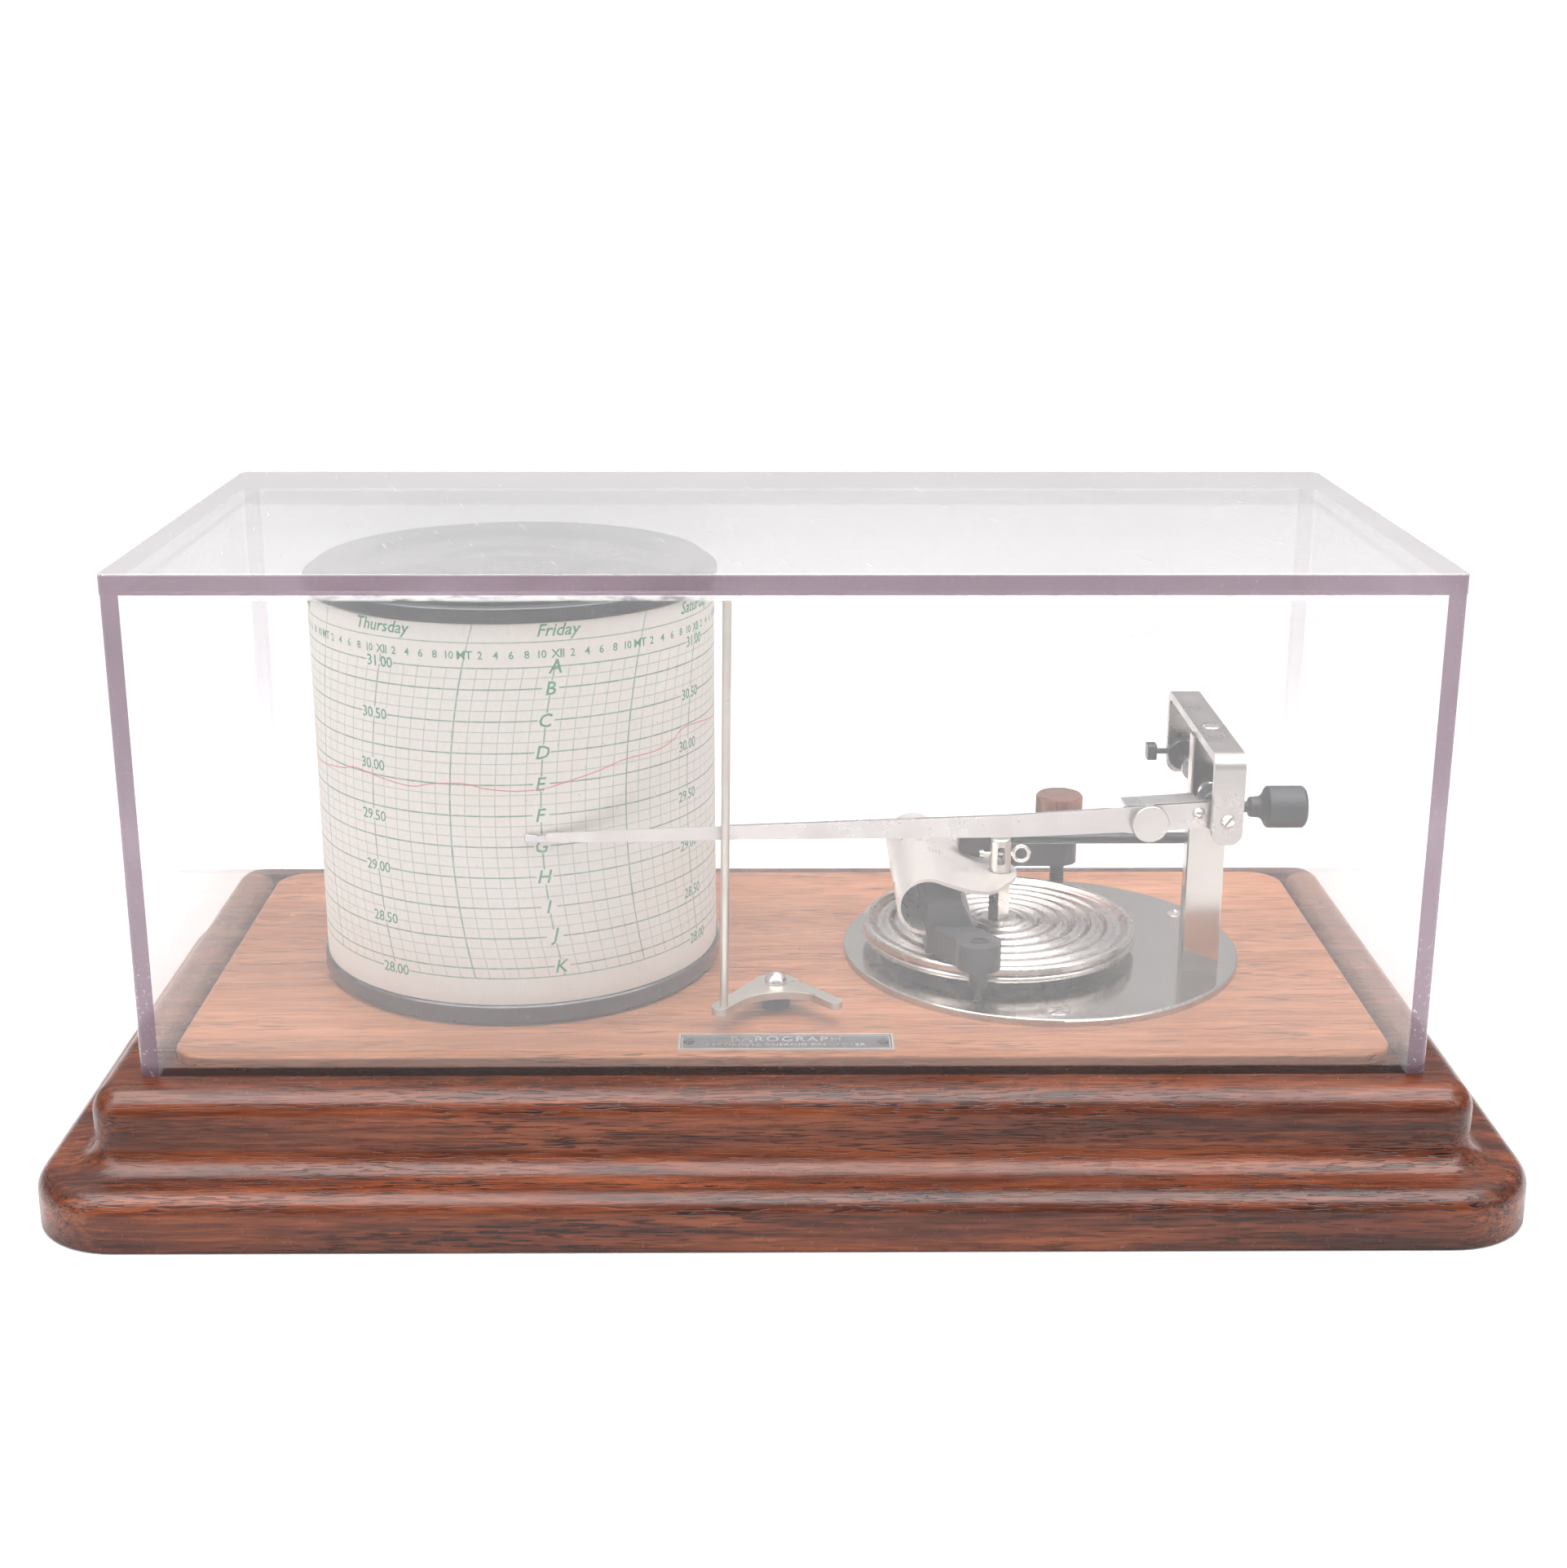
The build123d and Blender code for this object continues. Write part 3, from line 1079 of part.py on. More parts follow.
# pen at the tip, in two prisms: plan outline, height
NIB_PRISMS = (
    (((-61.0, -47.42), (-57.85, -47.75), (-57.85, -48.6)), 1.8),
    (((-57.85, -47.55), (-56.0, -47.44), (-56.0, -47.9), (-57.85, -48.6)), 1.5),
)
with BuildPart() as pen_nib:
    for plan, height in NIB_PRISMS:
        with BuildSketch(Plane.XY.offset(82.3)):
            with BuildLine():
                Polyline(*plan, close=True)
            make_face()
        extrude(amount=height)
save(pen_nib.part, "pen_nib")

# carrier: angle bracket behind the arm, with a tab on the hub
with BuildPart() as pen_arm_carrier:
    with BuildSketch(arm_plane(1.4)):
        with BuildLine():
            Polyline(*on_arm(((102.6, 81.9), (102.6, 88.7), (83.5, 87.8))))
            ThreePointArc(*on_arm(((83.5, 87.8), (80.2, 84.3), (83.5, 80.8))))
            Line(*on_arm(((83.5, 80.8), (102.6, 81.9))))
        make_face()
    extrude(amount=1.1)
    # top flange
    with BuildSketch(arm_plane(1.4)):
        with BuildLine():
            Polyline(*on_arm(((99.8, 88.57), (82.2, 87.74), (82.2, 86.84), (99.8, 87.67))),
                     close=True)
        make_face()
    extrude(amount=7.0)
    # tab that meets the hub
    with BuildSketch(Plane.XY.offset(82.6)):
        with BuildLine():
            Polyline((100.2, -36.2), (102.6, -36.1), (102.6, -34.0), (103.9, HUB_FRONT),
                     (100.2, HUB_FRONT), close=True)
        make_face()
    extrude(amount=4.2)
    with BuildSketch(arm_plane(-1)):
        with Locations(CLAMP_PLACE):
            Circle(1.24)
        with Locations(GATE_PLACE):
            Circle(1.04)
    extrude(amount=3.6, mode=Mode.SUBTRACT)
save(pen_arm_carrier.part, "pen_arm_carrier")

# thumb screw that clamps the arm to the carrier
with BuildPart() as thumb_screw:
    with BuildSketch(arm_plane(-2.4)):
        with Locations(CLAMP_PLACE):
            Circle(4.5)
    extrude(amount=2.2)
    fillet(thumb_screw.edges().filter_by(GeomType.CIRCLE), 0.35)
    with BuildSketch(arm_plane(-0.3)):
        with Locations(CLAMP_PLACE):
            Circle(1.2)
    extrude(amount=4.3)
save(thumb_screw.part, "thumb_screw")

# round-headed gate screw; local y of its section points to the front
GATE_HEAD_R, GATE_HEAD_H, GATE_SHANK = 1.55, 1.35, 2.55
gate_origin = tuple(arm_plane(-0.05).from_local_coords((*GATE_PLACE, 0)))
with BuildPart() as gate_screw:
    with BuildSketch(Plane(origin=gate_origin, x_dir=ARM_DIR, z_dir=(0, 0, 1))):
        with BuildLine():
            Polyline((0, GATE_HEAD_H), (0, -GATE_SHANK), (1.0, -GATE_SHANK), (1.0, 0.0),
                     (GATE_HEAD_R, 0.0))
            ThreePointArc((GATE_HEAD_R, 0.0), dome_mid(GATE_HEAD_R, GATE_HEAD_H),
                          (0, GATE_HEAD_H))
        make_face()
    revolve(axis=Axis(gate_origin, (ARM_DIR[1], -ARM_DIR[0], 0)))
save(gate_screw.part, "gate_screw")

# ---------------------------------------------------------------- pen lifter
ROD_R = 1.03
save(tube_piece(LIFTER, 3.7, 1.25, BOARD_TOP, 4.25), "lifter_post")

# flat lever with two horns pointing to the front left and front right
with BuildPart() as lifter_lever:
    with BuildSketch(Plane.XY.offset(39.75)):
        with Locations(LIFTER):
            Circle(5.6)
        with BuildLine():
            Line((LIFT_X - 5.3, LIFT_Y + 1.6), (-17.0, -49.2))
            ThreePointArc((-17.0, -49.2), (-16.7, -51.9), (-13.5, -51.6))
            Spline((-13.5, -51.6), (-8.4, -44.9), (LIFT_X, LIFT_Y - 6.9), (5.6, -42.4),
                   (11.2, -48.0), tangents=((0.6, 0.8), (0.72, -0.7)))
            ThreePointArc((11.2, -48.0), (13.6, -48.1), (13.7, -45.8))
            Polyline((13.7, -45.8), (LIFT_X + 5.3, LIFT_Y + 1.6), (LIFT_X - 5.3, LIFT_Y + 1.6))
        make_face()
        with Locations(LIFTER):
            Circle(1.32, mode=Mode.SUBTRACT)
        with Locations((ROD_FOOT_X, ROD_Y)):
            Circle(ROD_R, mode=Mode.SUBTRACT)
    extrude(amount=1.85)
save(lifter_lever.part, "lifter_lever")

# upright rod, fixed in the lever's left end and leaning a little to the right
ROD_BOTTOM, ROD_BEND, ROD_TOP = 39.0, 41.6, 140.8    # it leans from ROD_BEND upwards
with BuildPart() as lifter_rod:
    with BuildSketch(Plane.XY.offset(ROD_BOTTOM)):
        with Locations((ROD_FOOT_X, ROD_Y)):
            Circle(ROD_R)
    extrude(amount=ROD_BEND - ROD_BOTTOM)
    for x, z in ((ROD_FOOT_X, ROD_BEND), (ROD_TOP_X, ROD_TOP)):
        with BuildSketch(Plane.XY.offset(z)):
            with Locations((x, ROD_Y)):
                Circle(ROD_R)
    loft()
save(lifter_rod.part, "lifter_rod")

LIFTER_HEAD_Z, LIFTER_HEAD_R, LIFTER_HEAD_H = 41.7, 2.75, 2.6
head_top = LIFTER_HEAD_Z + LIFTER_HEAD_H
dome_r, dome_z = dome_mid(LIFTER_HEAD_R, LIFTER_HEAD_H)
with BuildPart() as lifter_screw:
    with BuildSketch(upright(*LIFTER)):
        with BuildLine():
            Polyline((0, head_top), (0, 31.2), (0.4, 31.2), (1.2, 33.0), (1.2, LIFTER_HEAD_Z),
                     (LIFTER_HEAD_R, LIFTER_HEAD_Z))
            ThreePointArc((LIFTER_HEAD_R, LIFTER_HEAD_Z), (dome_r, LIFTER_HEAD_Z + dome_z),
                          (0, head_top))
        make_face()
    revolve(axis=vertical(*LIFTER))
save(lifter_screw.part, "lifter_screw")
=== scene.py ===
"""A seven-day barograph on a mahogany plinth, under a clear acrylic cover.

X runs to the right, -Y is the front, Z is up and the floor is at Z = 0. The chart drum
stands on the left and the aneroid capsules on the right. The CAD pieces are painted here,
and the chart's print, its ink trace and the nameplate's lettering are added.
"""
import functools
import math

import bmesh
import bpy
from mathutils import Matrix, Vector


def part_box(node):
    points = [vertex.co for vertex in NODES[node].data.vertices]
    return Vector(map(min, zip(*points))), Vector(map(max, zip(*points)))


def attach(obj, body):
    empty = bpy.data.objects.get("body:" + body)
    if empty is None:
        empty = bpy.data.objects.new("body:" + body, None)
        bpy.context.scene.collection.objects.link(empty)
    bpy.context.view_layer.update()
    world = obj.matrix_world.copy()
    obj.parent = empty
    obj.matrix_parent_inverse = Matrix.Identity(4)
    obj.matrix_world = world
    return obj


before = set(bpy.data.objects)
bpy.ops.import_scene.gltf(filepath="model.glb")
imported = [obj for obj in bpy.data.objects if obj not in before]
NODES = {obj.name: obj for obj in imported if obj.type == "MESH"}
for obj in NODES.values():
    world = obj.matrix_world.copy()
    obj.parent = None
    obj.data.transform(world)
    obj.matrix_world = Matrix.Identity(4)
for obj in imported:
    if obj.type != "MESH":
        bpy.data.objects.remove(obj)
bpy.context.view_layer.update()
SCENE = bpy.context.scene

# Lengths are in metres and drum angles in degrees, from the front towards +X.
MM = 0.001
DRUM_X, DRUM_Y = -0.06755, 0.00265       # axis of the drum
CHART_RADIUS = 0.05033                   # outside of the chart paper
SCALE_LOW, SCALE_HIGH = 0.04762, 0.12413 # lowest and highest pressure lines
INCH = 0.0255                            # one inch of mercury on the scale
INCH_MM = INCH * 1000.0
PEN_REACH, PEN_PIVOT_Z = 0.1658, 0.0865  # swing radius of the pen, height of its pivot
DAY = 48.97                              # angle of one day
DAY_MM = DAY * math.pi / 180.0 * CHART_RADIUS * 1000.0
NOON = 12.05                             # the noon line nearest the front
LETTER_INCHES = 0.3                      # pitch of the bold pressure lines and the letters
PLATE_AXIS = (0.0676, 0.00213)           # X, Y of the aneroid base plate
CAPSULE_AXIS = (0.0567, 0.00213)         # X, Y of the capsules


# ---------------------------------------------------------------- node helpers
def operation(kind, swapped=False):
    """A method that makes a math node of this kind."""
    def method(self, *others):
        values = (*others, self) if swapped else (self, *others)
        return self.graph.node("Math", dict(enumerate(values)), operation=kind)
    return method


class Value:
    """An output socket; arithmetic and textures on it make further nodes."""

    def __init__(self, graph, socket):
        self.graph, self.socket = graph, socket

    def __getitem__(self, output):
        """Another output of the same node."""
        return Value(self.graph, self.socket.node.outputs[output])

    __add__ = operation("ADD")
    __sub__ = operation("SUBTRACT")
    __rsub__ = operation("SUBTRACT", swapped=True)
    __mul__ = operation("MULTIPLY")
    __truediv__ = operation("DIVIDE")
    __rtruediv__ = operation("DIVIDE", swapped=True)
    __pow__ = operation("POWER")
    __abs__ = operation("ABSOLUTE")
    sqrt = operation("SQRT")
    fract = operation("FRACT")
    arctan2 = operation("ARCTAN2")
    minimum = operation("MINIMUM")
    maximum = operation("MAXIMUM")
    above = operation("GREATER_THAN")
    below = operation("LESS_THAN")
    multiply_add = operation("MULTIPLY_ADD")

    def ease(self, over, to, curve="SMOOTHSTEP"):
        """Runs from to[0] to to[1] as the value crosses the span `over`."""
        ends = {"Value": self, "From Min": over[0], "From Max": over[1],
                "To Min": to[0], "To Max": to[1]}
        return self.graph.node("MapRange", ends, interpolation_type=curve)

    def rise(self, low, high, top=1.0):
        """0 below low, top above high."""
        return self.ease(over=(low, high), to=(0.0, top))

    def fall(self, low, high, top=1.0):
        """top below low, 0 above high."""
        return self.ease(over=(low, high), to=(top, 0.0))

    def noise(self, scale=1.0, detail=2.0, rough=0.5):
        """Noise at this place."""
        return self.graph.node("TexNoise", {"Vector": self, "Scale": scale, "Detail": detail,
                                            "Roughness": rough})

    def voronoi(self, scale=1.0, feature="F1"):
        """Distance to the nearest of scattered points."""
        return self.graph.node("TexVoronoi", {"Vector": self, "Scale": scale}, feature=feature)

    def ramp(self, stops):
        """A colour from (position, colour) stops."""
        result = self.graph.node("ValToRGB", {0: self})
        elements = result.socket.node.color_ramp.elements
        while len(elements) < len(stops):
            elements.new(0.5)
        for element, (position, color) in zip(elements, stops):
            element.position = position
            element.color = (*color, 1.0)
        return result

    def mix(self, base, over):
        """The base colour at 0, the other at 1."""
        return self.graph.node("Mix", {0: self, 6: base, 7: over}, output=2, data_type="RGBA")

    def bump(self, distance, strength, normal=None):
        """A normal from this height."""
        inputs = {"Strength": strength, "Distance": distance, "Height": self}
        if normal is not None:
            inputs["Normal"] = normal
        return self.graph.node("Bump", inputs)


class Graph:
    """The node tree of one new material or world."""

    def __init__(self, name, library=bpy.data.materials, kind="Material", coords="Object"):
        self.owner = library.new(name)
        self.owner.use_nodes = True
        self.tree = self.owner.node_tree
        self.tree.nodes.clear()
        self.output = self.tree.nodes.new("ShaderNodeOutput" + kind)
        self.place = self.split(self.node("TexCoord", output=coords))

    def put(self, socket, value):
        """Links a value to an input, or sets the input to a number or a colour."""
        if isinstance(value, Value):
            self.tree.links.new(value.socket, socket)
        elif isinstance(value, tuple):
            socket.default_value = (*value, 1.0)
        else:
            socket.default_value = value

    def node(self, kind, inputs=(), output=0, **settings):
        """Makes a node, fills its inputs and returns one of its outputs."""
        node = self.tree.nodes.new("ShaderNode" + kind)
        for setting, value in settings.items():
            setattr(node, setting, value)
        for key, value in dict(inputs).items():
            self.put(node.inputs[key], value)
        return Value(self, node.outputs[output])

    def split(self, vector):
        parts = self.node("SeparateXYZ", {0: vector})
        return [parts[i] for i in range(3)]

    def vec(self, *parts):
        return self.node("CombineXYZ", dict(enumerate(parts)))

    def cells(self, *per_metre, shift=None):
        """The place scaled to cells per metre: one number, or one each for X, Y and Z."""
        if len(per_metre) == 1:
            per_metre *= 3
        x, y, z = (part * count for part, count in zip(self.place, per_metre))
        return self.vec(x if shift is None else x + shift, y, z)

    def edge(self, radius):
        """A normal rounded over at the edges, or None for a radius of 0."""
        return self.node("Bevel", {"Radius": radius}, samples=4) if radius else None

    def shader(self, kind, **inputs):
        return self.node(kind, {key.replace("_", " "): put for key, put in inputs.items()})

    def mix_shaders(self, amount, base, over):
        return self.node("MixShader", {0: amount, 1: base, 2: over})

    def finish(self, shader):
        self.put(self.output.inputs[0], shader)
        return self.owner

    def principled(self, **inputs):
        return self.finish(self.shader("BsdfPrincipled", **inputs))


def hypotenuse(across, along):
    return (across * across + along * along).sqrt()


def shade(color, factor, lift=0.0):
    """A colour made darker or lighter."""
    return tuple(min(1.0, part * factor + lift) for part in color)


# ---------------------------------------------------------------- materials
# Cell counts are per metre; on `fine_cells` the scales are per millimetre.
def wood(name, dark, mid, light, rough, specular, spread, pore_depth=1.0, shift=0.0):
    """Mahogany with its grain along X, short dark pores and a lacquer over it."""
    graph = Graph(name)
    x, y, z = graph.place
    x = x + shift

    def grain(along, across):
        return graph.vec(x * along, y * across, z * across)

    # Bands, bent sideways by a slow warp, with fine fibres over them.
    warp = grain(along=7.0, across=22.0).noise(detail=3.0)
    bands = graph.vec(x * 6.0, y * 170.0 + warp * 2.6, z * 170.0 + warp * 2.6)
    bands = bands.noise(detail=4.0, rough=0.6)
    fibres = grain(along=45.0, across=900.0).noise(detail=3.0, rough=0.65)
    color = (bands * 0.55 + fibres * 0.45).ramp(
        [(0.50 - spread, dark), (0.50, mid), (0.50 + spread, light)])

    # Pores, denser in some patches than in others.
    pores = grain(along=150.0, across=2300.0).noise(detail=1.0, rough=0.4).rise(0.545, 0.62)
    patches = grain(along=12.0, across=150.0).noise().ease(over=(0.40, 0.62), to=(0.35, 1.0))
    pores = pores * patches * pore_depth
    color = (pores * 0.85).mix(color, shade(dark, 0.16))

    blotches = grain(along=10.0, across=22.0).noise().rise(0.35, 0.70, top=0.28)
    color = blotches.mix(color, shade(mid, 0.55))

    # Small bruises in the lacquer.
    nicks = grain(along=34.0, across=34.0).voronoi().fall(0.012, 0.034)
    color = (nicks * 0.4).mix(color, shade(light, 1.9))

    dust = grain(along=420.0, across=420.0).noise().rise(0.62, 0.72, top=0.1)
    wipes = grain(along=16.0, across=46.0).noise(detail=3.0)
    roughness = wipes.ease(over=(0.3, 0.7), to=(rough * 0.8, rough * 1.3)) + dust
    relief = fibres * 0.4 - pores * 1.0 - nicks * 0.8
    return graph.principled(Base_Color=color, Roughness=roughness, Specular_IOR_Level=specular,
                            Normal=relief.bump(distance=0.00012, strength=0.55))


def metal(name, color, rough, stretch=(1, 1, 1), lines=600.0, relief=0.000002, tint=0.12,
          spots=0.0, edge=0.0, turned=None, body=1.0):
    """Plated or bare metal: faint polishing lines, a film of handling and a few spots.

    lines and stretch give the cells of the polishing lines; turned is the axis of a turned
    finish, used in their place. relief is the depth of the lines, body the metallic value.
    """
    graph = Graph(name)
    x, y, z = graph.place
    if turned:
        radius = hypotenuse(x - turned[0], y - turned[1])
        polish = graph.vec(radius * 2400.0, 0.0, z * 900.0).noise(rough=0.6)
    else:
        polish = graph.vec(*(part * lines * pull for part, pull in zip(graph.place, stretch)))
        polish = polish.noise(detail=3.0, rough=0.65)
    film = graph.cells(90.0).noise(detail=4.0, rough=0.6)
    shown = film.rise(0.35, 0.75, top=tint).mix(color, shade(color, 0.55))
    shown = polish.rise(0.4, 0.8, top=tint).mix(shown, shade(color, 1.12))
    if spots:
        dots = graph.cells(520.0).voronoi().fall(0.05, 0.16)
        dots = dots * graph.cells(70.0).noise().rise(0.52, 0.62)
        shown = (dots * spots).mix(shown, shade(color, 0.3))
    roughness = film.ease(over=(0.3, 0.75), to=(rough * 0.75, rough * 1.4))
    roughness = roughness + (polish - 0.5) * (rough * 0.35)
    normal = polish.bump(distance=relief, strength=0.6, normal=graph.edge(edge))
    return graph.principled(Base_Color=shown, Metallic=body, Roughness=roughness, Normal=normal)


def enamel(name, color, rough, dust, coat, wrinkle=0.0, edge=0.0, metallic=0.0):
    """Black paint or blackening with dust on it; wrinkle is the depth of a crackle."""
    graph = Graph(name)
    fine_cells = graph.cells(1000.0)
    film = graph.cells(60.0).noise(detail=4.0, rough=0.6)
    specks = fine_cells.voronoi(scale=0.85).fall(0.06, 0.17)
    specks = specks * fine_cells.noise(scale=0.18).rise(0.5, 0.62)
    shown = film.rise(0.4, 0.8, top=0.5).mix(color, shade(color, 1.8, lift=0.01))
    shown = (specks * dust).mix(shown, (0.55, 0.53, 0.5))
    rounded = graph.edge(edge)
    if wrinkle:
        blisters = fine_cells.voronoi(scale=1.6, feature="SMOOTH_F1")
        height = blisters * 0.8 + fine_cells.noise(scale=2.4, detail=3.0) * 0.5
        normal = height.bump(distance=wrinkle, strength=0.8, normal=rounded)
    else:
        height = fine_cells.noise(scale=0.5, detail=3.0)
        normal = height.bump(distance=0.000002, strength=0.5, normal=rounded)
    roughness = film.ease(over=(0.3, 0.8), to=(rough * 0.8, rough * 1.4)) + specks * 0.3
    return graph.principled(Base_Color=shown, Metallic=metallic, Roughness=roughness,
                            Normal=normal, Coat_Weight=coat, Coat_Roughness=rough * 0.6)


def plastic(name, color, rough):
    """Moulded plastic with a fine grain."""
    graph = Graph(name)
    fine_cells = graph.cells(1000.0)
    grain = fine_cells.noise(scale=3.0)
    film = fine_cells.noise(scale=0.07, detail=3.0)
    shown = film.rise(0.35, 0.75, top=0.7).mix(color, shade(color, 1.6, lift=0.012))
    normal = grain.bump(distance=0.00002, strength=0.7, normal=graph.edge(0.00025))
    roughness = film.ease(over=(0.3, 0.7), to=(rough * 0.85, rough * 1.15))
    return graph.principled(Base_Color=shown, Roughness=roughness, Normal=normal,
                            Specular_IOR_Level=0.4)


def acrylic_haze(graph, facing, film, seam):
    """Share of the sheet's face that is dull: dust, scratches and a painted veil for reflected
    surroundings.
    """
    x, y, z = graph.place
    fine_cells = graph.cells(1000.0)
    cloud = fine_cells.noise(scale=0.02, detail=4.0, rough=0.6)
    specks = fine_cells.voronoi(scale=0.33).fall(0.025, 0.075)
    specks = specks * fine_cells.noise(scale=0.05).rise(0.44, 0.60)
    # Long cells, slanted across the axes, make the scratches.
    scratches = graph.vec(x * 900.0 + y * 300.0, y * 40.0 + z * 900.0, z * 30.0 + x * 220.0)
    scratches = scratches.noise().rise(0.70, 0.74, top=0.06)
    # The even cloud is partly dust and partly a painted white veil for the reflection of the
    # bright surroundings; specks and scratches are real marks.
    cover = cloud.ease(over=(0.3, 0.75), to=(film * 0.86, film * 1.16))
    cover = cover + specks * 0.30 + scratches
    # A slanting view looks through more of the film.
    haze = 1.0 - (1.0 - cover) ** (1.0 / facing)
    if seam:
        # The cement shows white along the joint with the top sheet.
        patches = graph.cells(160.0, 160.0, 600.0).noise(detail=3.0)
        patches = patches.ease(over=(0.30, 0.55), to=(0.25, 0.85))
        haze = haze.maximum(z.rise(seam - 0.0016, seam - 0.0009) * patches)
    # Shadow and diffuse rays meet little of it.
    ray = graph.node("LightPath")
    return haze * (1.0 - ray["Is Shadow Ray"].maximum(ray["Is Diffuse Ray"]) * 0.85)


def acrylic_rim(graph):
    """The violet sawn and polished edge, with white flecks low down."""
    bubbles = graph.cells(1000.0).noise(scale=0.9, detail=3.0, rough=0.7)
    low = graph.place[2].fall(0.034, 0.075)
    color = graph.cells(25.0).noise().ramp(
        [(0.35, (0.19, 0.13, 0.165)), (0.55, (0.225, 0.155, 0.195)), (0.75, (0.28, 0.205, 0.25))])
    flecks = bubbles.rise(0.58, 0.72) * (low * 0.8 + 0.06)
    color = flecks.mix(color, (0.80, 0.76, 0.79))
    solid = graph.shader("BsdfPrincipled", Base_Color=color, Roughness=0.18,
                         Normal=bubbles.bump(distance=0.00004, strength=0.3))
    clear = graph.shader("BsdfTransparent", Color=(0.86, 0.80, 0.86))
    return graph.mix_shaders(0.86, clear, solid)


def acrylic(name, rims, film, seam=None):
    """Clear sheet: dusty, finely scratched and veiled with painted reflection; violet where its
    edge is seen.

    rims names the axes its edges face, film is the density of the dust and the painted veil on
    it and seam the height of the cemented joint.
    """
    graph = Graph(name)
    geometry = graph.node("NewGeometry")
    normal = dict(zip("XYZ", graph.split(geometry["True Normal"])))
    rim = 0.0
    for axis in rims:
        rim = abs(normal[axis]).above(0.7) + rim
    # The foot of every sheet is an edge too.
    rim = abs(normal["Z"]).above(0.7) * graph.place[2].below(0.08) + rim
    behind = geometry["Backfacing"]
    far_rim = (rim * behind).minimum(1.0)
    near_rim = (rim * (1.0 - behind)).minimum(1.0)
    facing = graph.node("VectorMath", {0: geometry["True Normal"], 1: geometry["Incoming"]},
                        output="Value", operation="DOT_PRODUCT")
    facing = abs(facing).maximum(0.12)

    clear = graph.shader("BsdfTransparent", Color=(0.985, 0.98, 0.985))
    # White layers: partly dust, partly a painted veil standing in for the reflection of the
    # bright surroundings.
    dull = graph.shader("BsdfDiffuse", Color=(0.93, 0.92, 0.92))
    lit_through = graph.shader("BsdfTranslucent", Color=(0.93, 0.92, 0.92))
    dust = graph.mix_shaders(0.35, dull, lit_through)
    face = graph.mix_shaders(acrylic_haze(graph, facing, film, seam), clear, dust)
    gloss = graph.shader("BsdfGlossy", Color=(1, 1, 1), Roughness=0.02)
    # A sheet is seen from both sides: the back of a face reflects no more than its front.
    face = graph.mix_shaders((1.0 - facing) ** 5.0 * 0.9 + 0.04, face, gloss)
    far_edge = graph.shader("BsdfTransparent", Color=(0.74, 0.70, 0.725))
    face = graph.mix_shaders(far_rim, face, far_edge)
    return graph.finish(graph.mix_shaders(near_rim, face, acrylic_rim(graph)))


def chart_grid(graph):
    """Strength of the grid: straight pressure lines, arcs of time, gaps for the labels."""
    x, y, z = graph.place
    theta = (x - DRUM_X).arctan2((y - DRUM_Y) * -1.0)
    rise = z - PEN_PIVOT_Z
    swing = (PEN_REACH - (PEN_REACH * PEN_REACH - rise * rise).sqrt()) / CHART_RADIUS
    days = ((theta - swing) * (180.0 / math.pi) - NOON) / DAY   # from the noon line
    inches = (z - SCALE_LOW) / INCH                             # above the lowest line

    def off_whole(value, turns):
        """Distance to the nearest whole number; turns keeps the value positive."""
        return abs((value + 0.5 + turns).fract() - 0.5)

    def lines(value, pitch, half):
        """Lines at whole numbers of the value; pitch and half width in mm."""
        return (off_whole(value, turns=40.0) * pitch).fall(half * 0.55, half * 1.45)

    def line_at(height, low, high):
        """One level line, fading out between these distances in mm."""
        return (abs(z - height) * 1000.0).fall(low, high)

    thin_level = lines(inches * 10.0, pitch=INCH_MM / 10.0, half=0.13)
    bold_level = lines((inches - 0.1) / LETTER_INCHES, pitch=INCH_MM * LETTER_INCHES, half=0.19)
    ends = line_at(SCALE_HIGH, 0.09, 0.24).maximum(line_at(SCALE_LOW, 0.09, 0.24))
    thin_arc = lines(days * 12.0, pitch=DAY_MM / 12.0, half=0.13)
    bold_arc = lines(days * 2.0, pitch=DAY_MM / 2.0, half=0.20)
    inside = z.rise(SCALE_LOW - 0.00012, SCALE_LOW) * z.fall(SCALE_HIGH, SCALE_HIGH + 0.00012)

    # Above the scale: a level line, bars between the days and short ticks.
    head = line_at(0.1301, 0.08, 0.22)
    day_bars = lines(days - 0.5, pitch=DAY_MM, half=0.16) * z.rise(0.1243, 0.1244)
    ticks = bold_arc * z.rise(0.1241, 0.1242) * z.fall(0.1259, 0.1260)

    # Letters stand on alternate noons and numbers on the noons between; all of these in mm.
    to_letter = off_whole(days / 2.0, turns=20.0) * 2.0 * DAY_MM
    to_number = abs((days / 2.0 + 20.0).fract() - 0.5) * 2.0 * DAY_MM
    above_number = off_whole(inches / 0.5, turns=20.0) * (INCH_MM * 0.5)
    above_letter = off_whole((inches - 0.1) / LETTER_INCHES, turns=30.0)
    above_letter = above_letter * (INCH_MM * LETTER_INCHES)
    number_gap = to_number.fall(3.9, 4.0) * above_number.fall(1.45, 1.55)
    letter_gap = to_letter.fall(1.9, 2.0) * above_letter.fall(1.75, 1.85)
    keep = (1.0 - number_gap) * (1.0 - letter_gap)

    wear = graph.cells(700.0).noise(detail=3.0).ease(over=(0.25, 0.7), to=(1.0, 0.62))
    thin = thin_level.maximum(thin_arc) * inside * keep * 0.55
    bold = (bold_level.maximum(bold_arc) * inside).maximum(ends) * keep * 0.92
    heading = head.maximum(day_bars).maximum(ticks) * 0.78
    return thin.maximum(bold).maximum(heading) * wear


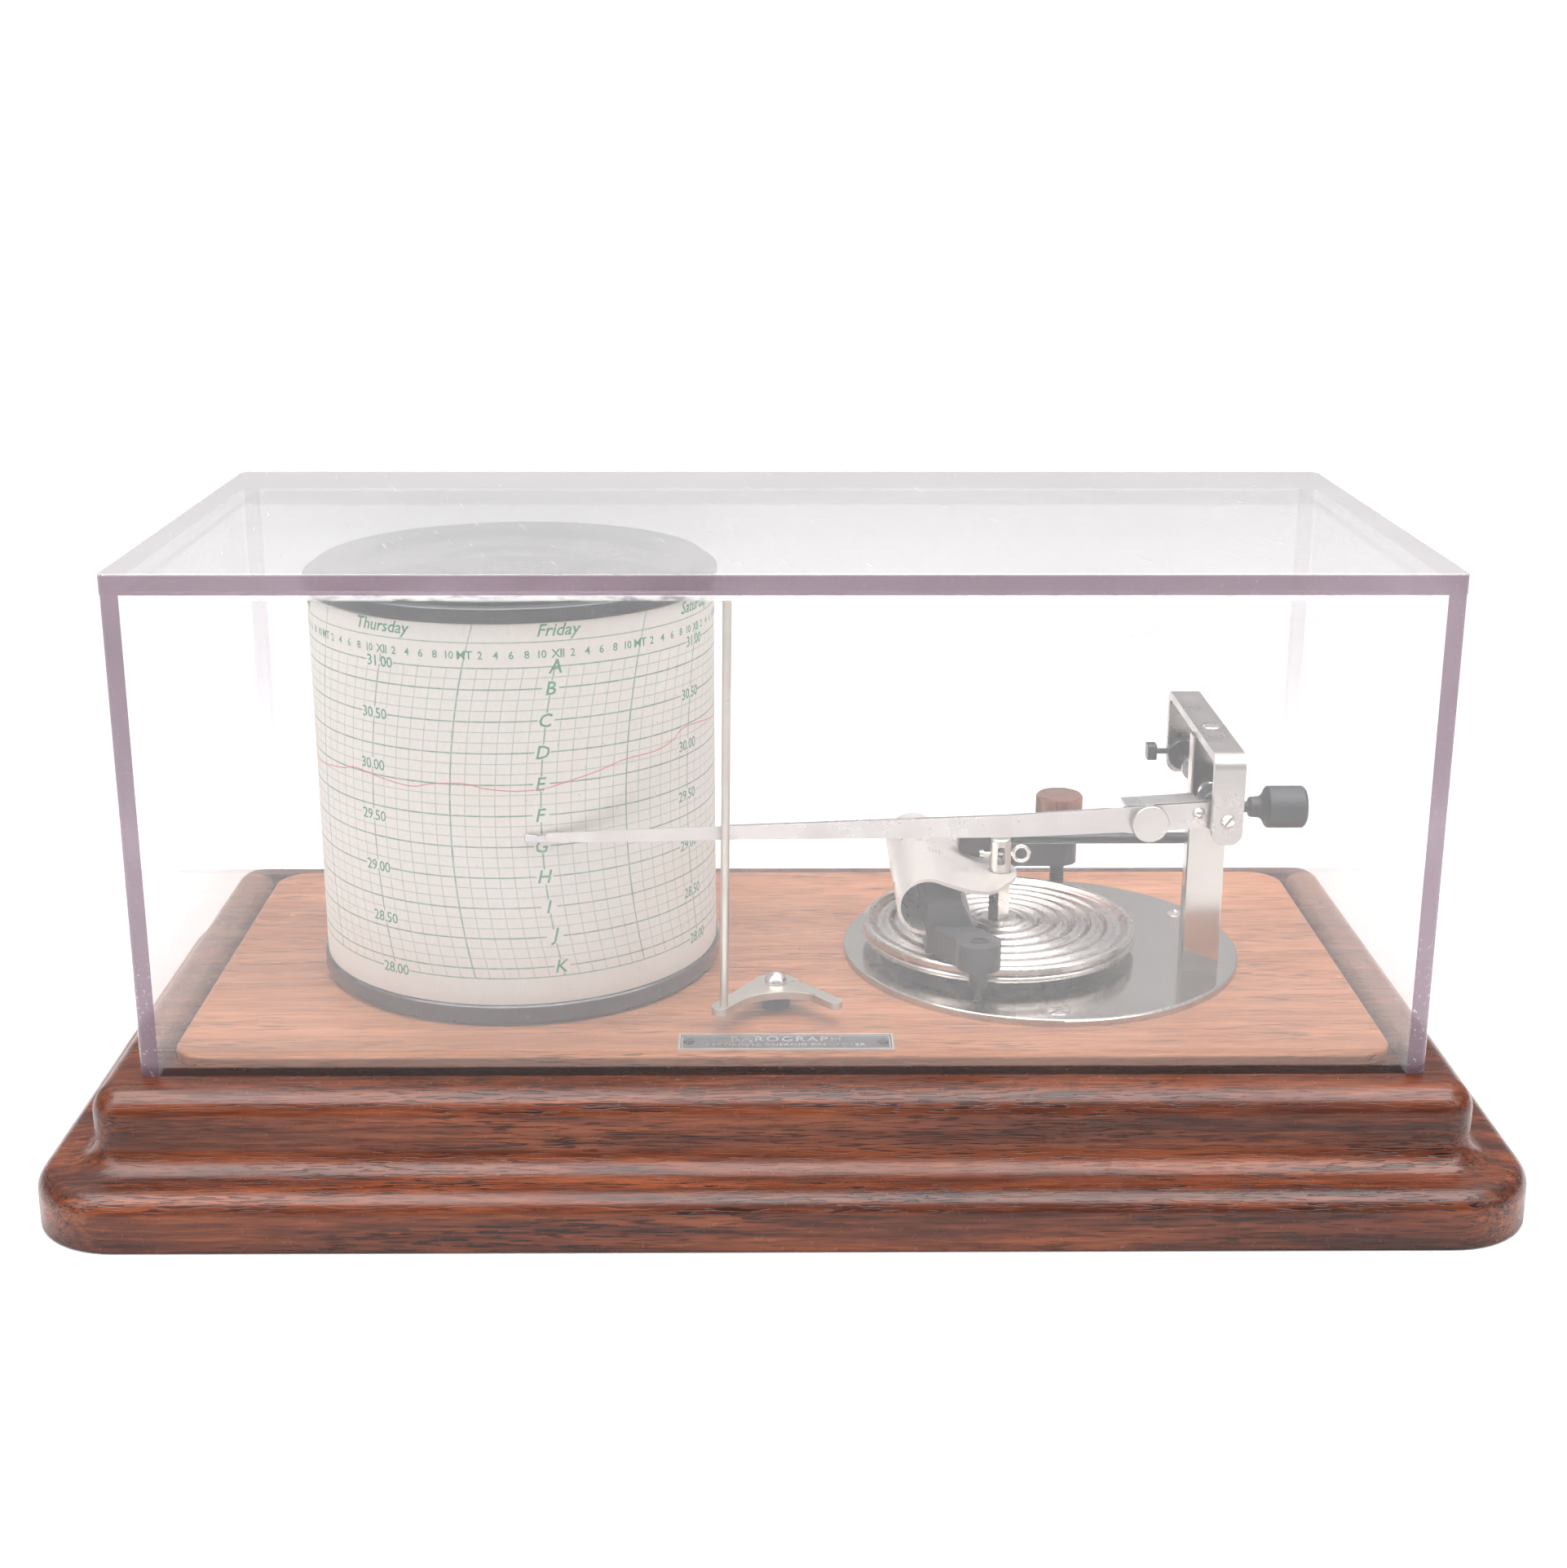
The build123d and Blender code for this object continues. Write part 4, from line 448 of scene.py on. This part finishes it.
def chart_paper(name):
    """Cream paper, stained in places, with the green printed grid."""
    graph = Graph(name)
    fibres = graph.cells(2200.0, 2200.0, 500.0).noise(detail=3.0, rough=0.7)
    color = fibres.ramp([(0.3, (0.615, 0.585, 0.535)), (0.7, (0.68, 0.65, 0.60))])
    brown = graph.cells(28.0).noise(detail=4.0, rough=0.6).rise(0.5, 0.8, top=0.45)
    color = brown.mix(color, (0.66, 0.59, 0.47))
    grey = graph.cells(60.0, shift=3.0).noise(detail=3.0, rough=0.55)
    color = grey.rise(0.62, 0.78, top=0.25).mix(color, (0.45, 0.44, 0.40))
    # Browner and darker towards the foot of the paper.
    foot = graph.place[2].fall(0.0411, 0.0445, top=0.35)
    color = foot.mix(color, (0.55, 0.50, 0.40))
    pink = graph.cells(85.0, shift=7.0).noise().rise(0.70, 0.78, top=0.22)
    color = pink.mix(color, (0.72, 0.42, 0.38))
    color = chart_grid(graph).mix(color, (0.085, 0.215, 0.135))
    return graph.principled(Base_Color=color, Roughness=0.82, Specular_IOR_Level=0.25,
                            Normal=fibres.bump(distance=0.00002, strength=0.5),
                            Sheen_Weight=0.05)


def name_plate(name, low, high):
    """Etched plate between two corners: bright border and ruled line, dark field."""
    graph = Graph(name)
    x, y, z = graph.place
    from_end = (high.x - low.x) / 2 - abs(x - (low.x + high.x) / 2)
    from_side = (high.y - low.y) / 2 - abs(y - (low.y + high.y) / 2)
    inset = from_end.minimum(from_side) * 1000.0      # from the plate's edge, in mm
    bright = inset.fall(0.45, 0.55).maximum(abs(inset - 0.95).fall(0.08, 0.16))
    mottle = graph.cells(1000.0).noise(scale=1.4, detail=3.0)
    field = mottle.mix((0.075, 0.07, 0.075), (0.17, 0.16, 0.165))
    return graph.principled(
        Base_Color=bright.mix(field, (0.66, 0.64, 0.62)),
        Metallic=bright.ease(over=(0.2, 0.8), to=(0.35, 1.0)),
        Roughness=mottle.ease(over=(0.3, 0.7), to=(0.3, 0.5)),
        Normal=(bright + mottle * 0.2).bump(distance=0.00005, strength=0.8))


def ink(name, color, rough):
    """Unevenly printed ink."""
    graph = Graph(name)
    mottle = graph.cells(1500.0).noise(detail=3.0)
    shown = mottle.rise(0.3, 0.75, top=0.55).mix(color, shade(color, 2.1, lift=0.05))
    return graph.principled(Base_Color=shown, Roughness=rough, Specular_IOR_Level=0.2,
                            Normal=mottle.bump(distance=0.000004, strength=0.5))


# ---------------------------------------------------------------- painting the pieces
def paint(pieces, material):
    """Gives each named piece this one material."""
    for name in pieces.split():
        mesh = NODES[name].data
        mesh.materials.clear()
        mesh.materials.append(material)
        for polygon in mesh.polygons:
            polygon.material_index = 0


paint("base_plinth", wood(
    "mahogany", dark=(0.040, 0.0082, 0.0038), mid=(0.118, 0.0265, 0.0098),
    light=(0.235, 0.0600, 0.0210), rough=0.23, specular=0.37, spread=0.115))
paint("instrument_board", wood(
    "board_wood", dark=(0.270, 0.096, 0.040), mid=(0.435, 0.172, 0.076),
    light=(0.575, 0.255, 0.122), rough=0.36, specular=0.34, spread=0.16,
    pore_depth=0.85, shift=0.37))

# film sets the dust and the painted veil on each sheet.
paint("cover_top_panel", acrylic("acrylic_top", rims="XY", film=0.046))
paint("cover_front_panel", acrylic("acrylic_front", rims="", film=0.053, seam=0.1463))
paint("cover_back_panel", acrylic("acrylic_back", rims="", film=0.03))
paint("cover_left_panel cover_right_panel", acrylic("acrylic_side", rims="Y", film=0.035))

# The drum.
paint("chart_paper", chart_paper("paper"))
paint("drum_base_flange drum_lid", enamel(
    "black_enamel", color=(0.010, 0.011, 0.015), rough=0.22, dust=0.35, coat=0.5))
paint("drum_shell", metal(
    "white_metal", color=(0.80, 0.78, 0.76), rough=0.3, stretch=(1, 1, 8), lines=300))
paint("chart_clip", metal(
    "clip_steel", color=(0.60, 0.59, 0.58), rough=0.25, stretch=(1, 1, 0.05), lines=2500,
    edge=0.0001))

# The aneroid.
paint("aneroid_base_plate", metal(
    "nickel_plate", color=(0.50, 0.475, 0.44), rough=0.15, relief=0.0000008, tint=0.10,
    spots=0.35, turned=PLATE_AXIS))
paint("capsule_lower_shell capsule_upper_diaphragm", metal(
    "nickel_capsule", color=(0.56, 0.53, 0.50), rough=0.26, relief=0.000001, tint=0.10,
    spots=0.25, turned=CAPSULE_AXIS))
paint("base_plate_screws yoke_screw pivot_screws gate_screw lifter_screw link_pin", metal(
    "nickel_screw", color=(0.74, 0.71, 0.67), rough=0.16, lines=1500, edge=0.00012))
paint("capsule_post link_block", metal(
    "satin_nickel", color=(0.56, 0.53, 0.49), rough=0.30, stretch=(1, 0.12, 1), lines=1800,
    relief=0.000003, tint=0.16, spots=0.3, edge=0.0002))
paint("main_spring", metal(
    "spring_nickel", color=(0.66, 0.61, 0.565), rough=0.34, stretch=(1, 0.04, 1), lines=2200,
    tint=0.14, spots=0.3, edge=0.00015, body=0.45))
paint("yoke", metal(
    "yoke_nickel", color=(0.50, 0.47, 0.445), rough=0.30, stretch=(1, 0.05, 1), lines=2200,
    tint=0.14, spots=0.2, edge=0.0003))
paint("pivot_post", metal(
    "post_nickel", color=(0.49, 0.455, 0.415), rough=0.16, stretch=(1, 1, 0.04), lines=2200,
    tint=0.14, spots=0.2, edge=0.0002))
paint("thumb_screw", metal(
    "thumb_nickel", color=(0.56, 0.53, 0.50), rough=0.30, lines=1600, spots=0.2, edge=0.00015))
paint("lifter_lever lifter_rod", metal(
    "lifter_nickel", color=(0.56, 0.52, 0.46), rough=0.36, stretch=(0.1, 1, 1), lines=1500,
    tint=0.2, spots=0.4, edge=0.00015))
paint("bridge_casting", enamel(
    "black_crackle", color=(0.022, 0.022, 0.024), rough=0.42, dust=0.25, coat=0.15,
    wrinkle=0.00006, edge=0.0003))
paint("bridge_front_screw pressure_adjusting_screw main_lever arbor_hub back_collar "
      "square_head_set_screw nameplate_pins", enamel(
          "black_oxide", color=(0.022, 0.023, 0.026), rough=0.34, dust=0.2, coat=0.15,
          edge=0.00015, metallic=0.45))
paint("knurled_adjusting_knob", metal(
    "copper_knob", color=(0.42, 0.21, 0.155), rough=0.34, stretch=(1, 1, 0.1), lines=1500,
    tint=0.3, spots=0.4, edge=0.0001))
paint("pen_set_knob lifter_post", plastic(
    "black_plastic", color=(0.022, 0.023, 0.026), rough=0.5))

# The pen and the clock.
paint("pen_arm", metal(
    "arm_aluminium", color=(0.56, 0.53, 0.51), rough=0.30, stretch=(0.05, 1, 1), lines=2600,
    tint=0.16, spots=0.2, edge=0.0001))
paint("pen_arm_carrier", metal(
    "carrier_steel", color=(0.62, 0.61, 0.60), rough=0.30, stretch=(0.05, 1, 1), lines=2600,
    tint=0.16, spots=0.2, edge=0.0001))
paint("pen_nib pen_arbor connecting_link drum_spindle drive_arbor barrel_arbor", metal(
    "steel", color=(0.52, 0.51, 0.50), rough=0.26, stretch=(1, 1, 0.06), lines=2000,
    tint=0.15, spots=0.2, edge=0.0001))
paint("clock_bottom_plate clock_top_plate clock_pillars mainspring_barrel winding_key "
      "train_wheel escape_wheel balance_wheel spindle_gear spindle_nut", metal(
          "brass", color=(0.72, 0.52, 0.22), rough=0.24, stretch=(1, 0.06, 1), lines=1800,
          tint=0.2, spots=0.3, edge=0.0001))
paint("mainspring", metal(
    "blued_steel", color=(0.16, 0.18, 0.26), rough=0.28, stretch=(1, 1, 0.1), lines=1800,
    tint=0.2, spots=0.2))

plate_low, plate_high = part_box("nameplate")
paint("nameplate", name_plate("plate_print", plate_low, plate_high))
green = ink("green_ink", color=(0.07, 0.20, 0.125), rough=0.7)
red = ink("red_ink", color=(0.50, 0.10, 0.11), rough=0.5)
silver = metal("silver_letters", color=(0.74, 0.72, 0.70), rough=0.3)


# ---------------------------------------------------------------- making pieces
@functools.cache
def glyphs(text, size, shear, depth, resolution, spacing):
    """Vertices and faces of a line of text, centred on the origin."""
    curve = bpy.data.curves.new("text", "FONT")
    curve.body = text
    curve.size = size
    curve.shear = shear
    curve.space_character = spacing
    curve.align_x, curve.align_y = "LEFT", "BOTTOM"
    curve.extrude = depth
    curve.resolution_u = resolution
    curve.offset = size * 0.011       # thickens the strokes a little
    holder = bpy.data.objects.new("text", curve)
    SCENE.collection.objects.link(holder)
    depsgraph = bpy.context.evaluated_depsgraph_get()
    mesh = bpy.data.meshes.new_from_object(holder.evaluated_get(depsgraph))
    vertices = [vertex.co.copy() for vertex in mesh.vertices]
    faces = [tuple(polygon.vertices) for polygon in mesh.polygons]
    bpy.data.objects.remove(holder)
    bpy.data.curves.remove(curve)
    bpy.data.meshes.remove(mesh)
    across = [vertex.x for vertex in vertices]
    upward = [vertex.y for vertex in vertices]
    middle = Vector(((min(across) + max(across)) / 2, (min(upward) + max(upward)) / 2, 0.0))
    return [vertex - middle for vertex in vertices], faces


def piece(name, parts, material, body):
    """One mesh from (vertices, faces) parts, riding on a body."""
    vertices, faces = [], []
    for part_vertices, part_faces in parts:
        start = len(vertices)
        vertices += [tuple(vertex) for vertex in part_vertices]
        faces += [tuple(i + start for i in face) for face in part_faces]
    mesh = bpy.data.meshes.new(name)
    mesh.from_pydata(vertices, [], faces)
    mesh.validate()
    editable = bmesh.new()
    editable.from_mesh(mesh)
    bmesh.ops.remove_doubles(editable, verts=editable.verts, dist=1e-7)
    bmesh.ops.recalc_face_normals(editable, faces=editable.faces)
    editable.to_mesh(mesh)
    editable.free()
    mesh.materials.append(material)
    made = bpy.data.objects.new(name, mesh)
    SCENE.collection.objects.link(made)
    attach(made, body)


def drum_point(angle, lift, z):
    """A point at an angle in radians, this far outside the chart paper."""
    radius = CHART_RADIUS + lift
    return DRUM_X + radius * math.sin(angle), DRUM_Y - radius * math.cos(angle), z


# ---------------------------------------------------------------- print on the chart
INK_DEPTH = 0.000008      # half the thickness of the lettering
INK_LIFT = 0.000022       # middle of the lettering above the paper
DAYS = list(enumerate(
    ("Tuesday", "Wednesday", "Thursday", "Friday", "Saturday", "Sunday", "Monday"), start=-3))
NAME_Z, HOUR_Z = 0.13235, 0.1272
LAST_HOUR = 171.0         # no hour figures past this angle


def arc(z):
    """How far a time arc has swung round the drum at this height."""
    rise = z - PEN_PIVOT_Z
    swing = PEN_REACH - math.sqrt(PEN_REACH * PEN_REACH - rise * rise)
    return math.degrees(swing / CHART_RADIUS)


def label(text, size, degrees, z, shear=0.0, spacing=1.0):
    """Lettering wrapped round the chart."""
    vertices, faces = glyphs(text, size, shear, INK_DEPTH, 2, spacing)
    middle = math.radians(degrees)
    wrapped = [drum_point(middle + vertex.x / CHART_RADIUS, INK_LIFT + vertex.z, z + vertex.y)
               for vertex in vertices]
    return wrapped, faces


def scale_numbers():
    """Inches of mercury, each half inch, on every other noon."""
    parts = []
    for day, _ in DAYS:
        if day % 2:
            for k in range(7):
                z = SCALE_LOW + k * 0.5 * INCH
                parts.append(label("%.2f" % (28.0 + 0.5 * k), 0.0037, NOON + DAY * day + arc(z),
                                   z, spacing=0.95))
    return parts


def column_letters():
    """A to K from the top down, on the noons between the numbers."""
    parts = []
    for day, _ in DAYS:
        if day % 2 == 0:
            for k, letter in enumerate("ABCDEFGHIJK"):
                z = SCALE_LOW + (2.8 - LETTER_INCHES * (k - 1)) * INCH if k else SCALE_HIGH
                parts.append(label(letter, 0.0046, NOON + DAY * day + arc(z), z, shear=0.22))
    return parts


def hour_figures():
    """Every second hour, with XII at noon and MT at midnight."""
    def figure(text, size, day, step):
        degrees = NOON + DAY * day + arc(HOUR_Z) + DAY * step / 12.0
        if degrees > LAST_HOUR:
            return []
        return [label(text, size, degrees, HOUR_Z, spacing=0.9)]

    parts = []
    for day, _ in DAYS:
        for i in range(12):
            if i in (0, 6):
                parts += figure("MT" if i else "XII", 0.0029, day, i)
            else:
                parts += figure(str((i * 2) % 12), 0.0026, day, i)
    for i in (6, 8, 10):
        parts += figure(str(i), 0.0026, -4, i)
    return parts


def day_names():
    return [label(name, 0.0041, NOON + DAY * day + arc(0.1324) - 1.0, NAME_Z, shear=0.30)
            for day, name in DAYS]


piece("chart_scale_numbers", scale_numbers(), green, "drum")
piece("chart_column_letters", column_letters(), green, "drum")
piece("chart_hour_figures", hour_figures(), green, "drum")
piece("chart_day_names", day_names(), green, "drum")


# ---------------------------------------------------------------- ink trace
# (degrees from the front, height in mm)
TRACE = [
    (-72.29, 93.38), (-50.82, 95.07), (-43.38, 96.48), (-30.82, 95.22), (-23.12, 94.73),
    (-16.94, 95.89), (-8.65, 96.37), (-2.97, 95.33), (2.86, 94.72), (7.6, 94.6),
    (13.46, 94.91), (20.37, 96.36), (27.81, 97.76), (36.59, 99.56), (46.8, 99.85),
    (54.19, 101.07), (61.45, 103.26), (85.0, 100.61)]
# A wavering run-in round the left and back of the drum.
LEAD = [(-152 + 7.5 * k, 101.0 + 3.2 * math.sin(k * 0.9) + 1.5 * math.sin(k * 2.3 + 1))
        for k in range(12)]


def spline(points, steps):
    """A smooth curve through the points, with this many steps between neighbours."""
    curve = []
    for i in range(len(points) - 1):
        near = (points[max(i - 1, 0)], points[i], points[i + 1],
                points[min(i + 2, len(points) - 1)])
        for k in range(steps):
            t = k / steps
            curve.append(tuple(
                0.5 * (2 * start + (end - before) * t
                       + (2 * before - 5 * start + 4 * end - after) * t * t
                       + (3 * start - before - 3 * end + after) * t ** 3)
                for before, start, end, after in zip(*near)))
    curve.append(points[-1])
    return curve


def ribbon(points, half, thick, lift):
    """A closed strip round the chart; half is half its width, in mm."""
    radius = CHART_RADIUS * 1000.0
    vertices, faces = [], []
    for i, (degrees, height) in enumerate(points):
        before, after = points[max(i - 1, 0)], points[min(i + 1, len(points) - 1)]
        run = math.radians(after[0] - before[0]) * radius
        climb = after[1] - before[1]
        length = math.hypot(run, climb)
        across, upward = -climb / length * half, run / length * half
        for side, out in ((1, lift), (-1, lift), (-1, lift + thick), (1, lift + thick)):
            angle = math.radians(degrees) + side * across / radius
            vertices.append(drum_point(angle, out, (height + side * upward) * MM))
        if i:
            last, here = (i - 1) * 4, i * 4
            for k in range(4):
                turn = (k + 1) % 4
                faces.append((last + k, last + turn, here + turn, here + k))
    faces.append((3, 2, 1, 0))
    faces.append(tuple(range(len(vertices) - 4, len(vertices))))
    return vertices, faces


trace = ribbon(spline(LEAD + TRACE, steps=6), half=0.11, thick=0.000012, lift=0.000034)
piece("chart_ink_trace", [trace], red, "drum")


# ---------------------------------------------------------------- nameplate lettering
LETTER_DEPTH = 0.00003    # half the thickness of the raised letters
# (text, size, offset from the plate's middle along Y, spacing)
PLATE_LINES = (
    ("BAROGRAPH", 0.0040, 0.00125, 1.18),
    ("RECORDING ANEROID BAROMETER", 0.0021, -0.0020, 1.12))


def plate_lettering():
    middle_x, middle_y = (plate_low.x + plate_high.x) / 2, (plate_low.y + plate_high.y) / 2
    parts = []
    for text, size, offset, spacing in PLATE_LINES:
        vertices, faces = glyphs(text, size, 0.0, LETTER_DEPTH, 3, spacing)
        base = Vector((middle_x, middle_y + offset, plate_high.z + LETTER_DEPTH))
        parts.append(([base + vertex for vertex in vertices], faces))
    return parts


piece("nameplate_lettering", plate_lettering(), silver, "base")


# ---------------------------------------------------------------- floor
def floor_paper():
    """White paper that glows away from the middle, to meet the white background."""
    graph = Graph("floor_paper")
    x, y, _ = graph.place
    mottle = graph.vec(x * 3.0, y * 3.0, 0.0).noise()
    paper = graph.shader("BsdfPrincipled", Roughness=0.9, Specular_IOR_Level=0.1,
                         Base_Color=mottle.mix((0.92, 0.92, 0.925), (0.95, 0.95, 0.95)))
    glow = graph.shader("Emission", Color=(1, 1, 1), Strength=1.15)
    return graph.finish(graph.mix_shaders(hypotenuse(x, y).rise(0.24, 0.55), paper, glow))


def make_floor(reach=6):
    mesh = bpy.data.meshes.new("floor")
    corners = [(-reach, -reach, 0), (reach, -reach, 0), (reach, reach, 0), (-reach, reach, 0)]
    mesh.from_pydata(corners, [], [(0, 1, 2, 3)])
    floor = bpy.data.objects.new("floor", mesh)
    SCENE.collection.objects.link(floor)
    mesh.materials.append(floor_paper())


make_floor()


# ---------------------------------------------------------------- light
def studio():
    """A white tent, grey low down; the camera itself sees plain white."""
    graph = Graph("studio", bpy.data.worlds, "World", coords="Generated")
    height = graph.place[2]
    ray = graph.node("LightPath")
    tent = height.ease(over=(-0.2, 1.0), to=(0.0, 1.0), curve="LINEAR").ramp([
        (0.0, (0.30, 0.30, 0.31)), (0.22, (0.34, 0.34, 0.35)),
        (0.52, (0.85, 0.85, 0.85)), (1.0, (1.0, 1.0, 1.0))])
    # Polished curves see a brighter ceiling than the rest does.
    strength = height.rise(0.50, 0.72, top=0.8).multiply_add(ray["Is Glossy Ray"], 0.72)
    lighting = graph.shader("Background", Color=tent, Strength=strength)
    backdrop = graph.shader("Background", Color=(1, 1, 1), Strength=1.3)
    return graph.finish(graph.mix_shaders(ray["Is Camera Ray"], lighting, backdrop))


def softbox(name, place, aim, size, power):
    """A rectangular light of this width and height, turned towards its aim."""
    lamp = bpy.data.lights.new(name, "AREA")
    lamp.shape = "RECTANGLE"
    lamp.size, lamp.size_y = size
    lamp.energy = power
    box = bpy.data.objects.new(name, lamp)
    box.location = place
    box.rotation_euler = (Vector(aim) - Vector(place)).to_track_quat("-Z", "Y").to_euler()
    SCENE.collection.objects.link(box)
    return box


SCENE.world = studio()
softbox("top_box", place=(0.0, -0.10, 1.05), aim=(0, 0, 0), size=(1.8, 0.62), power=21.0)
softbox("left_box", place=(-1.2, -0.75, 0.75), aim=(0, 0, 0.08), size=(0.6, 0.8), power=5.0)
softbox("right_box", place=(1.3, -0.65, 0.8), aim=(0, 0, 0.08), size=(0.5, 0.8), power=3.5)
# The front of the tent roof, which only the polished curves pick up.
sheen = softbox("front_sheen", place=(0.0, -0.56, 0.91), aim=(0, -0.09, 0.03),
                size=(1.9, 0.42), power=17.0)
sheen.visible_diffuse = False
sheen.visible_transmission = False
sheen.visible_camera = False


# ---------------------------------------------------------------- camera and render
def make_camera(place, pitch, yaw, roll):
    """A camera facing +Y: pitch looks down, yaw turns to the right; angles in degrees."""
    pitch, yaw, roll = math.radians(pitch), math.radians(yaw), math.radians(roll)
    lens = bpy.data.cameras.new("camera")
    lens.lens = 51.25
    lens.sensor_width = 36.0
    lens.sensor_fit = "HORIZONTAL"
    lens.clip_start = 0.01
    camera = bpy.data.objects.new("camera", lens)
    SCENE.collection.objects.link(camera)
    forward = Vector((math.sin(yaw) * math.cos(pitch), math.cos(yaw) * math.cos(pitch),
                      -math.sin(pitch)))
    level = Vector((math.cos(yaw), -math.sin(yaw), 0.0))
    upright = level.cross(forward)
    right = level * math.cos(roll) + upright * math.sin(roll)
    top = upright * math.cos(roll) - level * math.sin(roll)
    matrix = Matrix.Identity(4)
    for i in range(3):
        matrix[i] = (right[i], top[i], -forward[i], place[i])
    camera.matrix_world = matrix
    SCENE.camera = camera


make_camera(place=(-0.0048082, -0.546311, 0.24786), pitch=16.90, yaw=0.541, roll=0.091)

SCENE.view_settings.view_transform = "Standard"
SCENE.view_settings.look = "None"
SCENE.cycles.transparent_max_bounces = 24
SCENE.cycles.max_bounces = 8
SCENE.cycles.use_denoising = True
